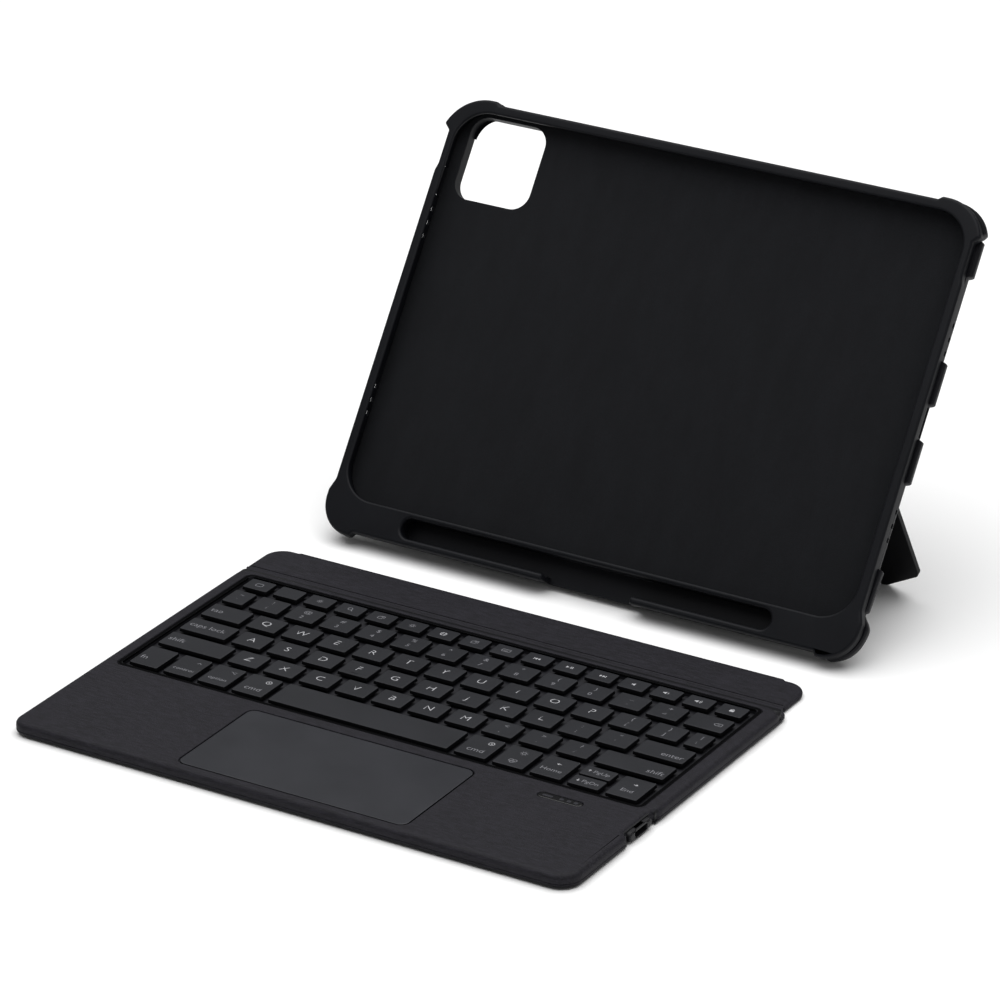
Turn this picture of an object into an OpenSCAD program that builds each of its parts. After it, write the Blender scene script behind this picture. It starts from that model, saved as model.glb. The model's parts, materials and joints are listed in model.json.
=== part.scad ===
// Tablet keyboard case: a rugged shell with a kickstand and a stylus trough, and a detachable keyboard.
// +Z is up, +X runs along the width, and -Y points to the person typing.
// The shell's parts are drawn flat (X across, Y up the shell, Z from its back to its front) and then tilted.
// The keyboard's parts are drawn flat on the floor, from the middle of its front edge.

/* [Tablet] */
// Width of the tablet that the shell holds
tablet_w = 247.6; // [240:0.1:260]
// Height of the tablet
tablet_h = 178.5; // [170:0.1:190]
// Thickness of the tablet
tablet_t = 5.9; // [5:0.1:7]

/* [Shell] */
// Thickness of the shell from back to front
shell_t = 13; // [12.5:0.1:15]
// Tilt of the shell from the floor
shell_tilt = 54.7; // [50:0.1:65]
// Height of the band below the tablet
band_h = 12.6; // [12:0.1:16]
// Wall round the tablet
wall = 1.8; // [1.6:0.1:2.2]
// Radius of the shell's corners
shell_r = 18; // [14:1:20]
// How far the rear corner bumpers stand out sideways
bumper_out = 4; // [3:0.1:6]
// How far the side grips stand out
grip_out = 2.2; // [2:0.1:3.5]
// Width of the stylus trough
trough_w = 8.8; // [8:0.1:9]
// Length of the stylus trough
trough_len = 177.2; // [160:0.1:190]

/* [Kickstand] */
// Half the width of the kickstand plate
kick_half_w = 118; // [100:1:118]
// Height of the hinge line above the shell's lower edge
hinge_v = 72.5; // [65:0.5:90]
// Thickness of the kickstand plate
kick_t = 2.2; // [1.8:0.1:2.2]
// Lean of the open kickstand from the floor
kick_lean = 60; // [50:1:75]

/* [Keyboard] */
// Width of the keyboard
kb_w = 257.5; // [248:1:262]
// Depth of the keyboard with its magnetic strip
kb_d = 197.5; // [190:0.1:210]
// Height of the keyboard's top face
kb_top = 6.4; // [6.2:0.1:6.6]
// How far left of the shell's middle the keyboard lies
kb_shift = 4.2; // [0:0.1:10]
// Clear floor between the strip and the shell's lower front edge
kb_gap = 18.9; // [10:0.1:40]
// Distance of the fold line from the front edge
fold_y = 171.3; // [168:0.1:174]
// Travel of a key
key_travel = 1.1; // [0.8:0.1:1.1]
// Gap between two keys in a row
key_gap = 2.73; // [2:0.01:3.2]
// Width of a letter key
key_w = 14.4; // [14:0.1:15]
// Depth of the palm rest, up to the first row of keys
palm_d = 67.8; // [64:0.1:70]

/* [Trackpad] */
// Width of the trackpad
pad_w = 104.6; // [90:0.1:106]
// Depth of the trackpad
pad_d = 52.9; // [44:0.1:54]
// Distance of the trackpad from the front edge
pad_y = 5.1; // [5:0.1:8]

/* [Hidden] */
$fn = 48;
eps = 0.05;                                   // small overlap for clean cuts

// Shell, in its own flat frame
slack = 0.4;                                  // room for the tablet on each side
bay_w = tablet_w + 2 * slack;
bay_h = tablet_h + 2 * slack;
bay_v = band_h;                               // lower edge of the tablet bay
lip_t = 1.2;                                  // thickness of the front lip
lining_t = 0.5;
bay_floor = shell_t - lip_t - tablet_t - 0.3 - lining_t;
shell_w = bay_w + 2 * wall;
shell_h = bay_v + bay_h + wall;
frame_t = 4.5;                                // depth of the front frame
body_t = shell_t - frame_t;                   // depth of the back shell
frame_grow = 0.6;                             // the front frame stands this far outside the back shell
bumper_down = 2.5;                            // how far the bumpers stand below the back shell
bumper_up = 1.6;                              // and above it
side_round = 7;                               // rounding of the back's side edges
foot_round = 3;                               // rounding of the back's lower and upper edges
lip_x = 121.8;
lip_v0 = 14.4;
lip_v1 = 188.9;
body_v0 = 0.6;                                // lower edge of the back shell
trough_v = 7.6;                               // middle of the trough
trough_floor = shell_t - trough_w;
lip_gap = 42;                                 // gap in the lower lip, to push the stylus out
lip_gap_x = 3.3;                              // middle of the gap
cam_x = -100;                                 // middle of the rear camera window
cam_v = 170;
cam_size = 37;
port_v = 102.4;                               // middle of the charging port's window
port_len = 13.2;
speaker_vs = [52, 58, 64, 132, 138, 144];
power_v = 157;                                // middle of the power button
volume_x = [-92, -76];                        // middles of the volume buttons
button_z = 5.4;
button_h = 2.6;

// Place of the shell: its lowest bumper edge is on the floor
foot_v = body_v0 - bumper_down;
shell_z = foot_round - (foot_v + foot_round) * sin(shell_tilt)
    - (foot_round - shell_t) * cos(shell_tilt);

// Kickstand
axis_d = 1.7;                                 // hinge axis in front of the shell's back plane
knuckle_r = 1.5;
pin_r = 0.7;
hinge_x = 62;
tab_w = 14;
knuckle_w = 10;
hinge_gap = 0.3;
hinge_z = shell_z + hinge_v * sin(shell_tilt) + (axis_d - shell_t) * cos(shell_tilt);
kick_open = 180 - shell_tilt - kick_lean;
kick_len = (hinge_z - (kick_t - axis_d) * cos(kick_lean)) / sin(kick_lean);
kick_top = 2.9;                               // the plate starts this far below the hinge axis
kick_cut_x = 18;
kick_cut_v = 12.6;
pad_h = 1.4;                                  // foot pad along the kickstand's edge

// Keyboard
kb_r = 9;
foot_h = 0.8;
base_t = 0.7;
skin_t = 0.8;
base_z = foot_h;
frame_z = base_z + base_t;
skin_z = kb_top - skin_t;
deck_d = fold_y - 3;                          // depth of the deck
strip_y = fold_y + 3;                         // front edge of the magnetic strip
strip_d = kb_d - strip_y;
strip_z = 0.3;
strip_t = 2.6;
strip_w = 256.4;
strip_x = -3.3;                               // the strip is bonded a little to the left of the deck's middle
fold_w = 248;
fold_z = 1.6;
row_gap = 3.5;
row_d = 12;
big_row_d = 17;
fn_row_d = 9;
key_x0 = -118.25;
keys_w = -2 * key_x0;
key_top = kb_top + 0.3;
cap_h = 1.5;
cap_z = key_top - cap_h;
well_floor = cap_z - key_travel - 0.1;
plate_t = 0.6;
membrane_t = 0.4;
steel_t = 0.4;
rim = 1.6;
tray_w = keys_w + 2 * rim + 5.2;
tray_y0 = palm_d - 1.9 - rim;
tray_y1 = palm_d + big_row_d + 5 * row_gap + 4 * row_d + fn_row_d + 1.9 + rim;
steel_z = well_floor - plate_t - membrane_t - steel_t;
pad_t = 1;
board_t = 0.8;
pad_top = kb_top - 0.1;
led_x = 92;
led_y = 54.9;
led_w = 20;
led_d = 4.5;
usb_x = kb_w / 2 - 10;                        // inner end of the charging socket
usb_y = 54.3;
usb_z = 3.2;
usb_notch = 22;

// Rows of keys from the front: distance of the row, depth, and the widths of its keys
small = 10.5;
row_ys = [for (i = [0:5]) palm_d + (i == 0 ? 0 : big_row_d + row_gap + (i - 1) * (row_d + row_gap))];
row_ds = [big_row_d, row_d, row_d, row_d, row_d, fn_row_d];
mod_w = 13.7;
cmd_w = 14.8;
arrow_w = 14.3;
space_w = keys_w - 3 * mod_w - 2 * cmd_w - 4 * arrow_w - 9 * key_gap;
shift_w = 31;
caps_w = 22.5;
tab_key_w = 19.3;
fn_w = (keys_w - 15 * key_gap) / 16;
letters = function (n) [for (i = [1:n]) key_w];
rest_of = function (first, n) keys_w - first - n * key_w - (n + 1) * key_gap;
rows = [
    [mod_w, mod_w, mod_w, cmd_w, space_w, cmd_w, arrow_w, arrow_w, arrow_w, arrow_w],
    concat([shift_w], letters(10), [rest_of(shift_w, 10)]),
    concat([caps_w], letters(11), [rest_of(caps_w, 11)]),
    concat([tab_key_w], letters(12), [rest_of(tab_key_w, 12)]),
    concat([small], letters(12), [rest_of(small, 12)]),
    [for (i = [1:16]) fn_w]
];

// Origin: middle of the whole object's footprint, on the floor
bumper_w = shell_w + 2 * (bumper_out - frame_grow);
left = min(-kb_w / 2, strip_x - strip_w / 2) - kb_shift;
right = bumper_w / 2;
front = -kb_gap - kb_d;
top_v = shell_h - frame_grow + bumper_up;
rear = (top_v - foot_round) * cos(shell_tilt) + (shell_t - foot_round) * sin(shell_tilt) + foot_round;
origin = [(left + right) / 2, (front + rear) / 2];

// ---------- places ----------

module in_shell() {
    translate([-origin.x, -origin.y, shell_z]) rotate([shell_tilt, 0, 0])
        translate([0, 0, -shell_t]) children();
}

module in_kick() {
    in_shell() translate([0, hinge_v, axis_d]) rotate([kick_open, 0, 0])
        translate([0, -hinge_v, -axis_d]) children();
}

module in_keyboard() {
    translate([-origin.x - kb_shift, front - origin.y, 0]) children();
}

// ---------- shapes ----------

// Flat rectangle with round corners, from its lower left corner
module round_rect(w, h, r) {
    translate([r, 0]) square([w - 2 * r, h]);
    translate([0, r]) square([w, h - 2 * r]);
    for (x = [r, w - r], y = [r, h - r]) translate([x, y]) circle(r);
}

// Slab with round corners, centred on X
module slab(w, y0, y1, r, t) {
    linear_extrude(t) translate([-w / 2, y0]) round_rect(w, y1 - y0, r);
}

// Block centred on X
module block(w, y0, y1, z0, z1) {
    translate([-w / 2, y0, z0]) cube([w, y1 - y0, z1 - z0]);
}

// Capsule slot through the thickness
module slot(len, wide, t) {
    for (x = [-1, 1]) translate([x * (len - wide) / 2, 0, 0]) cylinder(r = wide / 2, h = t);
    translate([-(len - wide) / 2, -wide / 2, 0]) cube([len - wide, wide, t]);
}

// Section that is round at its two back edges only
module round_back(w, t, r) {
    translate([0, r]) square([w, t - r]);
    translate([r, 0]) square([w - 2 * r, t]);
    for (x = [r, w - r]) translate([x, r]) circle(r);
}

// Body of the shell, grown sideways, down and up, with round back edges
module shell_body(side, down, up, t) {
    w = shell_w - 2 * frame_grow + 2 * side;
    v0 = body_v0 - down;
    h = shell_h - frame_grow + up - v0;
    intersection() {
        slab(w, v0, v0 + h, shell_r + side / 2, t);
        translate([-w / 2, v0 + h, 0]) rotate([90, 0, 0])
            linear_extrude(h) round_back(w, t + side_round, side_round);
        translate([-w / 2, v0, 0]) rotate([90, 0, 90])
            linear_extrude(w) round_back(h, t + foot_round, foot_round);
    }
}

// The four corner regions that carry bumpers
module corner_regions(t) {
    for (s = [-1, 1]) {
        translate([s * 136 - 20, -6, -1]) cube([40, 26.5, t + 2]);
        translate([s * 124 - 20, shell_h - 11, -1]) cube([40, 30, t + 2]);
    }
}

// Outline of the closed kickstand, grown by g
module kick_outline(g) {
    v0 = hinge_v - kick_len - g;
    v1 = hinge_v - kick_top + g;
    x = kick_half_w + g;
    r = 4;
    a = atan2(kick_cut_v, kick_cut_x);
    b = r * tan(a / 2);
    c = r * tan((90 - a) / 2);
    cut = [kick_cut_x * (1 - 0.2 * g / 4), kick_cut_v * (1 - 0.2 * g / 4)];
    for (s = [-1, 1]) {
        // round corners: foot end, side end, and top
        translate([s * (x - cut.x - b), v0 + r]) circle(r);
        translate([s * (x - r), v0 + cut.y + c]) circle(r);
        translate([s * (x - r), v1 - r]) circle(r);
    }
    polygon([for (s = [1, -1], p = s > 0 ? [
        [x - cut.x - b, v0],
        [x - cut.x - b + r * sin(a), v0 + r - r * cos(a)],
        [x - r + r * sin(a), v0 + cut.y + c - r * cos(a)],
        [x, v0 + cut.y + c],
        [x, v1 - r],
        [x - r, v1]
    ] : [
        [x - r, v1],
        [x, v1 - r],
        [x, v0 + cut.y + c],
        [x - r + r * sin(a), v0 + cut.y + c - r * cos(a)],
        [x - cut.x - b + r * sin(a), v0 + r - r * cos(a)],
        [x - cut.x - b, v0]
    ]) [s * p.x, p.y]]);
}

// ---------- shell ----------

module back_shell() {
    color("#202126") in_shell() difference() {
        shell_body(0, 0, 0, body_t);
        // tablet bay, open to the front
        translate([0, 0, bay_floor]) slab(bay_w, bay_v, bay_v + bay_h, shell_r, shell_t);
        // stylus trough, and the gap in its lower lip
        translate([0, trough_v, trough_floor]) slot(trough_len + 0.8, trough_w + 0.2, shell_t);
        translate([lip_gap_x, 0, 0]) block(lip_gap, -1, trough_v, trough_floor, shell_t);
        // recess for the closed kickstand and its hinges
        translate([0, 0, -1]) linear_extrude(1 + kick_t + 0.3) kick_outline(0.9);
        for (s = [-1, 1]) translate([s * hinge_x, 0, 0])
            block(tab_w + 2 * knuckle_w + 2, hinge_v - 4.2, hinge_v + 15, -1, axis_d + knuckle_r + 0.4);
        for (s = [-1, 1], x = [-12, 12]) translate([s * hinge_x + x, hinge_v + 8, 0])
            cylinder(r = 0.8, h = bay_floor - 0.4);
        // windows for the rear camera, the charging port and the speakers
        translate([cam_x, 0, -1]) slab(cam_size, cam_v - cam_size / 2, cam_v + cam_size / 2, 8, shell_t);
        block_at_side(1, port_v, port_len, bay_floor, shell_t);
        for (s = [-1, 1], v = speaker_vs) block_at_side(s, v, 2, bay_floor + 0.6, bay_floor + 2.6);
        // openings behind the button covers
        block_at_side(-1, power_v, 13, button_z, button_z + button_h);
        for (x = volume_x) translate([x, 0, 0])
            block(12.4, shell_h - 6, shell_h + 2, button_z, button_z + button_h);
        // pockets for the docking magnets
        for (s = [-1, 1]) translate([s * 101, 0, 0]) block(16.1, 2.2, 5.3, 3.45, body_t + 1);
    }
}

// Cut through one side wall at height v
module block_at_side(s, v, len, z0, z1) {
    translate([s * shell_w / 2 - 6, v - len / 2, z0]) cube([12, len, z1 - z0]);
}

module front_frame() {
    color("#23242a") in_shell() translate([0, 0, body_t]) difference() {
        union() {
            slab(shell_w, 0, shell_h, shell_r, frame_t);
            intersection() {
                slab(shell_w + 6, -1.9, shell_h + 1, shell_r + 2, frame_t);
                corner_regions(frame_t);
            }
        }
        translate([0, 0, -eps]) slab(bay_w, bay_v, bay_v + bay_h, shell_r, frame_t - lip_t + eps);
        translate([0, 0, -1]) slab(2 * lip_x, lip_v0, lip_v1, shell_r - 3, frame_t + 2);
        translate([0, trough_v, -1]) slot(trough_len, trough_w, frame_t + 2);
        translate([lip_gap_x, 0, 0]) block(lip_gap, -1, trough_v, -1, frame_t + 1);
        block_at_side(1, port_v, port_len, -1, frame_t - lip_t - 0.3);
    }
}

module corner_bumpers() {
    color("#1d1e23") in_shell() difference() {
        intersection() {
            shell_body(bumper_out, bumper_down, bumper_up, body_t);
            corner_regions(body_t);
        }
        shell_body(0, 0, 0, body_t + 1);
    }
}

module side_grips() {
    grips = [[22.1, 40.1], [75.7, 95.5], [109.3, 129], [164.3, 181.2]];
    color("#1d1e23") in_shell() difference() {
        intersection() {
            shell_body(grip_out, 0, 0, body_t);
            for (s = [-1, 1], g = grips)
                translate([s * shell_w / 2 - 8, g[0], 1.5]) cube([16, g[1] - g[0], body_t]);
        }
        shell_body(0, 0, 0, body_t + 1);
    }
}

module back_lining() {
    color("#3a3b40") in_shell() translate([0, 0, bay_floor]) difference() {
        slab(bay_w - 1, bay_v + 0.5, bay_v + bay_h - 0.5, shell_r - 1, lining_t);
        translate([cam_x, 0, -1]) slab(cam_size, cam_v - cam_size / 2, cam_v + cam_size / 2, 8, 3);
    }
}

module shell_magnets() {
    color("silver") in_shell() for (s = [-1, 1]) translate([s * 101, 0, 0]) block(16, 2.25, 5.25, 3.5, body_t - 0.1);
}

module hinge_brackets() {
    color("#8c8f94") in_shell() for (s = [-1, 1]) translate([s * hinge_x, hinge_v, 0]) difference() {
        union() {
            for (k = [-1, 1]) translate([k * (tab_w / 2 + hinge_gap + knuckle_w / 2) - knuckle_w / 2, 0, 0]) {
                translate([0, 0, axis_d]) rotate([0, 90, 0]) cylinder(r = knuckle_r, h = knuckle_w);
                translate([0, 0, 2.3]) cube([knuckle_w, 5, 0.9]);
            }
            block(tab_w + 2 * hinge_gap + 2 * knuckle_w, 3.5, 13.5, 2.8, axis_d + knuckle_r + 0.4);
        }
        translate([-30, 0, axis_d]) rotate([0, 90, 0]) cylinder(r = pin_r, h = 60);
        for (x = [-12, 12]) translate([x, 8, 0]) cylinder(r = 0.85, h = 6);
    }
}

module hinge_pins() {
    len = tab_w + 2 * hinge_gap + 2 * knuckle_w;
    color("silver") in_shell() for (s = [-1, 1])
        translate([s * hinge_x - len / 2, hinge_v, axis_d]) rotate([0, 90, 0]) cylinder(r = pin_r, h = len);
}

module hinge_screws() {
    color("#5c5f66") in_shell() for (s = [-1, 1], x = [-12, 12]) translate([s * hinge_x + x, hinge_v + 8, 0]) {
        translate([0, 0, 1.7]) cylinder(r = 1.7, h = 1.1);
        translate([0, 0, 2.7]) cylinder(r = 0.78, h = 1.8);
    }
}

module hinge_covers() {
    color("#202126") in_shell() for (s = [-1, 1]) translate([s * hinge_x, 0, 0])
        block(tab_w + 2 * knuckle_w + 1.6, hinge_v + 2.4, hinge_v + 14.6, 0.2, 1.4);
}

// Soft cover over a button of the tablet: a pad outside and a stem through the wall
module button_cover(len) {
    translate([-len / 2, 0, button_z + 0.2]) cube([len, wall + 0.6, button_h - 0.4]);
}

module power_button() {
    color("#2a2b31") in_shell() translate([-shell_w / 2 - 0.8, power_v, 0]) rotate([0, 0, -90]) button_cover(12.4);
}

module volume_button(x) {
    color("#2a2b31") in_shell() translate([x, shell_h + 0.4, 0]) mirror([0, 1, 0]) button_cover(11.8);
}

module volume_up_button() { volume_button(volume_x[0]); }

module volume_down_button() { volume_button(volume_x[1]); }

// ---------- kickstand ----------

module kickstand_plate() {
    foot = hinge_v - kick_len + pad_h;
    color("#17181b") in_kick() difference() {
        union() {
            intersection() {
                linear_extrude(kick_t) kick_outline(0);
                block(2 * kick_half_w, foot, hinge_v, 0, kick_t);
            }
            for (s = [-1, 1]) translate([s * hinge_x, 0, 0]) {
                block(tab_w, hinge_v - kick_top - 1, hinge_v, 0.2, kick_t);
                translate([-tab_w / 2, hinge_v, axis_d]) rotate([0, 90, 0]) cylinder(r = knuckle_r, h = tab_w);
            }
        }
        for (s = [-1, 1]) {
            translate([s * hinge_x - tab_w, hinge_v, axis_d]) rotate([0, 90, 0])
                cylinder(r = pin_r + 0.05, h = 2 * tab_w);
            // relief beside each tab for the fixed knuckles
            for (k = [-1, 1]) translate([s * hinge_x + k * (tab_w / 2 + hinge_gap + knuckle_w / 2), 0, 0])
                block(knuckle_w + 0.6, hinge_v - 3.6, hinge_v + 1, -1, 4);
        }
    }
}

module kickstand_foot_pad() {
    v0 = hinge_v - kick_len;
    color("#101113") in_kick() intersection() {
        linear_extrude(kick_t) kick_outline(0);
        block(2 * kick_half_w, v0, v0 + pad_h, 0, kick_t);
    }
}

// ---------- magnetic strip and fold ----------

module strip_outline(inset) {
    w = strip_w - 2 * inset;
    r = kb_r - inset;
    y1 = strip_d - inset;
    translate([strip_x, 0]) difference() {
        translate([-w / 2, strip_y + inset - 2 * r]) round_rect(w, y1 - inset + 2 * r, r);
        translate([-w, strip_y + inset - 3 * r]) square([2 * w, 3 * r]);
    }
}

module strip_core() {
    color("#3c4247") in_keyboard() translate([0, 0, strip_z + 0.7]) difference() {
        linear_extrude(strip_t - 1.4) strip_outline(1.2);
        for (s = [-1, 1]) translate([strip_x + s * 101 - 10, strip_y + strip_d - 8, -1])
            cube([20, 5, 4]);
    }
}

module strip_magnets() {
    color("silver") in_keyboard() for (s = [-1, 1])
        translate([strip_x + s * 101 - 10, strip_y + strip_d - 8, strip_z + 0.7]) cube([20, 5, strip_t - 1.4]);
}

// Cover sheet of the strip; its rim closes the edge outside the core
module strip_sheet(z0, z1, rim_z0, rim_z1) {
    translate([0, 0, z0]) linear_extrude(z1 - z0) strip_outline(0);
    translate([0, 0, rim_z0]) linear_extrude(rim_z1 - rim_z0) difference() {
        strip_outline(0);
        strip_outline(1.2);
    }
}

module strip_top_cover() {
    z = strip_z + strip_t;
    color("#303034") in_keyboard() strip_sheet(z - 0.7, z, strip_z + strip_t / 2, z - 0.7);
}

module strip_bottom_cover() {
    color("#2a2a2e") in_keyboard() strip_sheet(strip_z, strip_z + 0.7, strip_z + 0.7, strip_z + strip_t / 2);
}

module fold_fabric_rear() {
    color("#303034") in_keyboard() block(fold_w, fold_y + 0.8, strip_y, fold_z - 0.4, fold_z + 0.4);
}

module fold_fabric_front() {
    color("#303034") in_keyboard() block(fold_w, deck_d, fold_y - 0.8, fold_z - 0.4, fold_z + 0.4);
}

// ---------- deck ----------

// Outline of the deck: large round corners in front, small ones at the fold
module deck_outline(inset) {
    w = kb_w - 2 * inset;
    r = kb_r - inset;
    translate([-w / 2, inset]) round_rect(w, 4 * r, r);
    translate([-w / 2, inset + r]) round_rect(w, deck_d - 2 * inset - r, 1.5);
}

// Notch in the right edge round the charging port
module usb_cut(deep, extra) {
    x = kb_w / 2 - deep;
    translate([x, usb_y - usb_notch / 2 - extra]) square([deep + 2, usb_notch + 2 * extra]);
}

module deck_top_cover() {
    color("#303034") in_keyboard() difference() {
        translate([0, 0, frame_z]) linear_extrude(kb_top - frame_z) deck_outline(0);
        translate([0, 0, frame_z - 1]) linear_extrude(skin_z - frame_z + 1) deck_outline(skin_t);
        block(tray_w + 0.4, tray_y0 - 0.2, tray_y1 + 0.2, 0, 10);
        slab_hole(pad_w + 0.8, pad_y - 0.4, pad_y + pad_d + 0.4, 4);
        translate([led_x, led_y, 0]) slot(led_w, led_d, 10);
        translate([0, 0, -1]) linear_extrude(12) usb_cut(2.4, 0);
    }
}

// Hole with round corners right through the deck
module slab_hole(w, y0, y1, r) {
    translate([0, 0, -1]) slab(w, y0, y1, r, 12);
}

module deck_frame() {
    color("#26272b") in_keyboard() difference() {
        translate([0, 0, frame_z]) linear_extrude(skin_z - frame_z) difference() {
            deck_outline(skin_t);
            usb_cut(2.4, 0);
        }
        // key well with a ledge for the support plate
        block(tray_w, tray_y0, tray_y1, steel_z, 10);
        block(tray_w - 14, tray_y0 + 6, tray_y1 - 6, 0, 10);
        // trackpad well with a ledge at its ends
        block(pad_w + 1, pad_y - 0.5, pad_y + pad_d + 0.5, 3.4, 10);
        block(pad_w - 12, pad_y + 4, pad_y + pad_d - 4, 0, 10);
        // battery on the left, board on the right
        block_x(-116, -58, 12, 58, 0, skin_z - 0.8);
        block_x(60, 112, 12, 58, 0, skin_z - 0.8);
        translate([led_x, led_y, 0]) slot(led_w - 1.6, led_d - 1.6, 10);
        // charging port
        translate([usb_x - 6, usb_y - 5, 1]) cube([30, 10, skin_z - 1.8]);
    }
}

// Block between two X values
module block_x(x0, x1, y0, y1, z0, z1) {
    translate([x0, y0, z0]) cube([x1 - x0, y1 - y0, z1 - z0]);
}

module deck_bottom_cover() {
    color("#2a2a2e") in_keyboard() translate([0, 0, base_z]) linear_extrude(base_t) difference() {
        deck_outline(0.4);
        usb_cut(1.6, 0);
    }
}

module key_tray() {
    floor_z = well_floor - plate_t;
    color("#2a2a2d") in_keyboard() difference() {
        slab_at(tray_w, tray_y0, tray_y1, 3.2, floor_z, kb_top - 0.2);
        slab_at(tray_w - 2 * rim, tray_y0 + rim, tray_y1 - rim, 2, well_floor, 10);
        // windows over the domes
        each_key() block_x(-4.2, 4.2, -3.2, 3.2, 0, 10);
    }
}

// Slab with round corners between two heights
module slab_at(w, y0, y1, r, z0, z1) {
    translate([0, 0, z0]) slab(w, y0, y1, r, z1 - z0);
}

module key_membrane() {
    color("#b9bcbf") in_keyboard()
        block(tray_w - 2, tray_y0 + 1, tray_y1 - 1, well_floor - plate_t - membrane_t, well_floor - plate_t);
}

module key_support_plate() {
    color("#8c8f94") in_keyboard() block(tray_w - 2, tray_y0 + 1, tray_y1 - 1, steel_z, steel_z + steel_t);
}

module key_domes() {
    color("#d8d8d4") in_keyboard() translate([0, 0, well_floor - plate_t])
        each_key() cylinder(r1 = 2.6, r2 = 1.5, h = 1.3);
}

module key_scissors() {
    color("#e2e2e0") in_keyboard() translate([0, 0, well_floor + eps]) each_key() {
        w = min(10, $key_w - 2.8);
        difference() {
            block(w, -3.6, 3.6, 0, 0.5);
            block(w - 1.2, -3, 3, -1, 2);
        }
    }
}

module battery() {
    color("#4a6fa5") in_keyboard() block_x(-115, -59, 13, 57, frame_z, frame_z + 3.1);
}

module main_board() {
    color("#1f6b3a") in_keyboard() {
        block_x(61, 111, 13, 57, frame_z, frame_z + 0.9);
        block_x(72, 84, 22, 34, frame_z + 0.9, frame_z + 2.1);
        block_x(90, 97, 24, 30, frame_z + 0.9, frame_z + 1.9);
        block_x(78, 104, led_y - 3.4, led_y - 0.6, frame_z + 0.9, frame_z + 1.9);
    }
}

// Metal socket of the charging port: a flat oval tube
module usb_socket() {
    color("silver") in_keyboard() translate([usb_x, usb_y, usb_z]) rotate([0, 90, 0]) difference() {
        oval(9, 3.2, 7.4);
        translate([0, 0, 1]) oval(8.4, 2.6, 8);
    }
    color("#303030") in_keyboard() translate([usb_x + 0.5, usb_y - 3.2, usb_z - 0.35]) cube([5.6, 6.4, 0.7]);
}

// Oval rod along Z, long in Y
module oval(len, wide, h) {
    for (s = [-1, 1]) translate([0, s * (len - wide) / 2, 0]) cylinder(r = wide / 2, h = h);
    translate([-wide / 2, -(len - wide) / 2, 0]) cube([wide, len - wide, h]);
}

module indicator_lens() {
    color("#15161a") in_keyboard() translate([led_x, led_y, 0]) {
        translate([0, 0, skin_z + eps]) slot(led_w - 0.3, led_d - 0.3, skin_t);
        translate([0, 0, 4.2]) slot(led_w - 2, led_d - 2, skin_z - 4.1);
    }
}

module rubber_feet() {
    color("#141415") in_keyboard() for (x = [-92, 92], y = [10, 148]) translate([x, y, 0]) slot(44, 6, foot_h);
}

module trackpad() {
    color("#3c3d42") in_keyboard() slab_at(pad_w, pad_y, pad_y + pad_d, 3.6, pad_top - pad_t, pad_top);
}

module trackpad_board() {
    z = pad_top - pad_t;
    color("#1f6b3a") in_keyboard() slab_at(pad_w - 4, pad_y + 2, pad_y + pad_d - 2, 2, z - board_t, z);
}

module trackpad_switch() {
    color("#9a9ca0") in_keyboard() block(6, pad_y + 18, pad_y + 24, frame_z, pad_top - pad_t - board_t - 0.4);
}

// ---------- keys ----------

// Left edge of key k in row i
function key_x(i, k) = key_x0 + (k == 0 ? 0 : sum_to(rows[i], k) + k * key_gap);
function sum_to(list, n, i = 0, s = 0) = i == n ? s : sum_to(list, n, i + 1, s + list[i]);

// Hollow key cap from its front left corner
module key_cap(x, y, w, d) {
    side = 0.7;
    roof = 0.6;
    translate([x, y, cap_z]) difference() {
        linear_extrude(cap_h) round_rect(w, d, 1);
        translate([side, side, -1]) cube([w - 2 * side, d - 2 * side, cap_h - roof + 1]);
    }
}

// Keys first to last of a row
module keys(i, first, last) {
    color("#37373b") in_keyboard()
        for (k = [first:last]) key_cap(key_x(i, k), row_ys[i], rows[i][k], row_ds[i]);
}

// Half-depth arrow key: 0 is the lower one, 1 the upper one
module half_key(n) {
    d = (big_row_d - 0.8) / 2;
    color("#37373b") in_keyboard() key_cap(key_x(0, 8), row_ys[0] + n * (d + 0.8), arrow_w, d);
}

// Children at the middle of every full-size key, with its width in $key_w
module each_key() {
    for (i = [0:5], k = [0:len(rows[i]) - 1]) if (!(i == 0 && k == 8)) {
        $key_w = rows[i][k];
        translate([key_x(i, k) + $key_w / 2, row_ys[i] + row_ds[i] / 2, 0]) children();
    }
}

module function_keys() { keys(5, 0, 15); }
module number_keys() { keys(4, 0, 12); }
module key_backspace() { keys(4, 13, 13); }
module key_tab() { keys(3, 0, 0); }
module upper_letter_keys() { keys(3, 1, 13); }
module key_caps_lock() { keys(2, 0, 0); }
module home_letter_keys() { keys(2, 1, 11); }
module key_enter() { keys(2, 12, 12); }
module key_shift_left() { keys(1, 0, 0); }
module lower_letter_keys() { keys(1, 1, 10); }
module key_shift_right() { keys(1, 11, 11); }
module modifier_keys() {
    keys(0, 0, 3);
    keys(0, 5, 6);
}
module key_space() { keys(0, 4, 4); }
module key_arrow_left() { keys(0, 7, 7); }
module key_arrow_down() { half_key(0); }
module key_arrow_up() { half_key(1); }
module key_arrow_right() { keys(0, 9, 9); }

// ---------- nodes ----------

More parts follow.
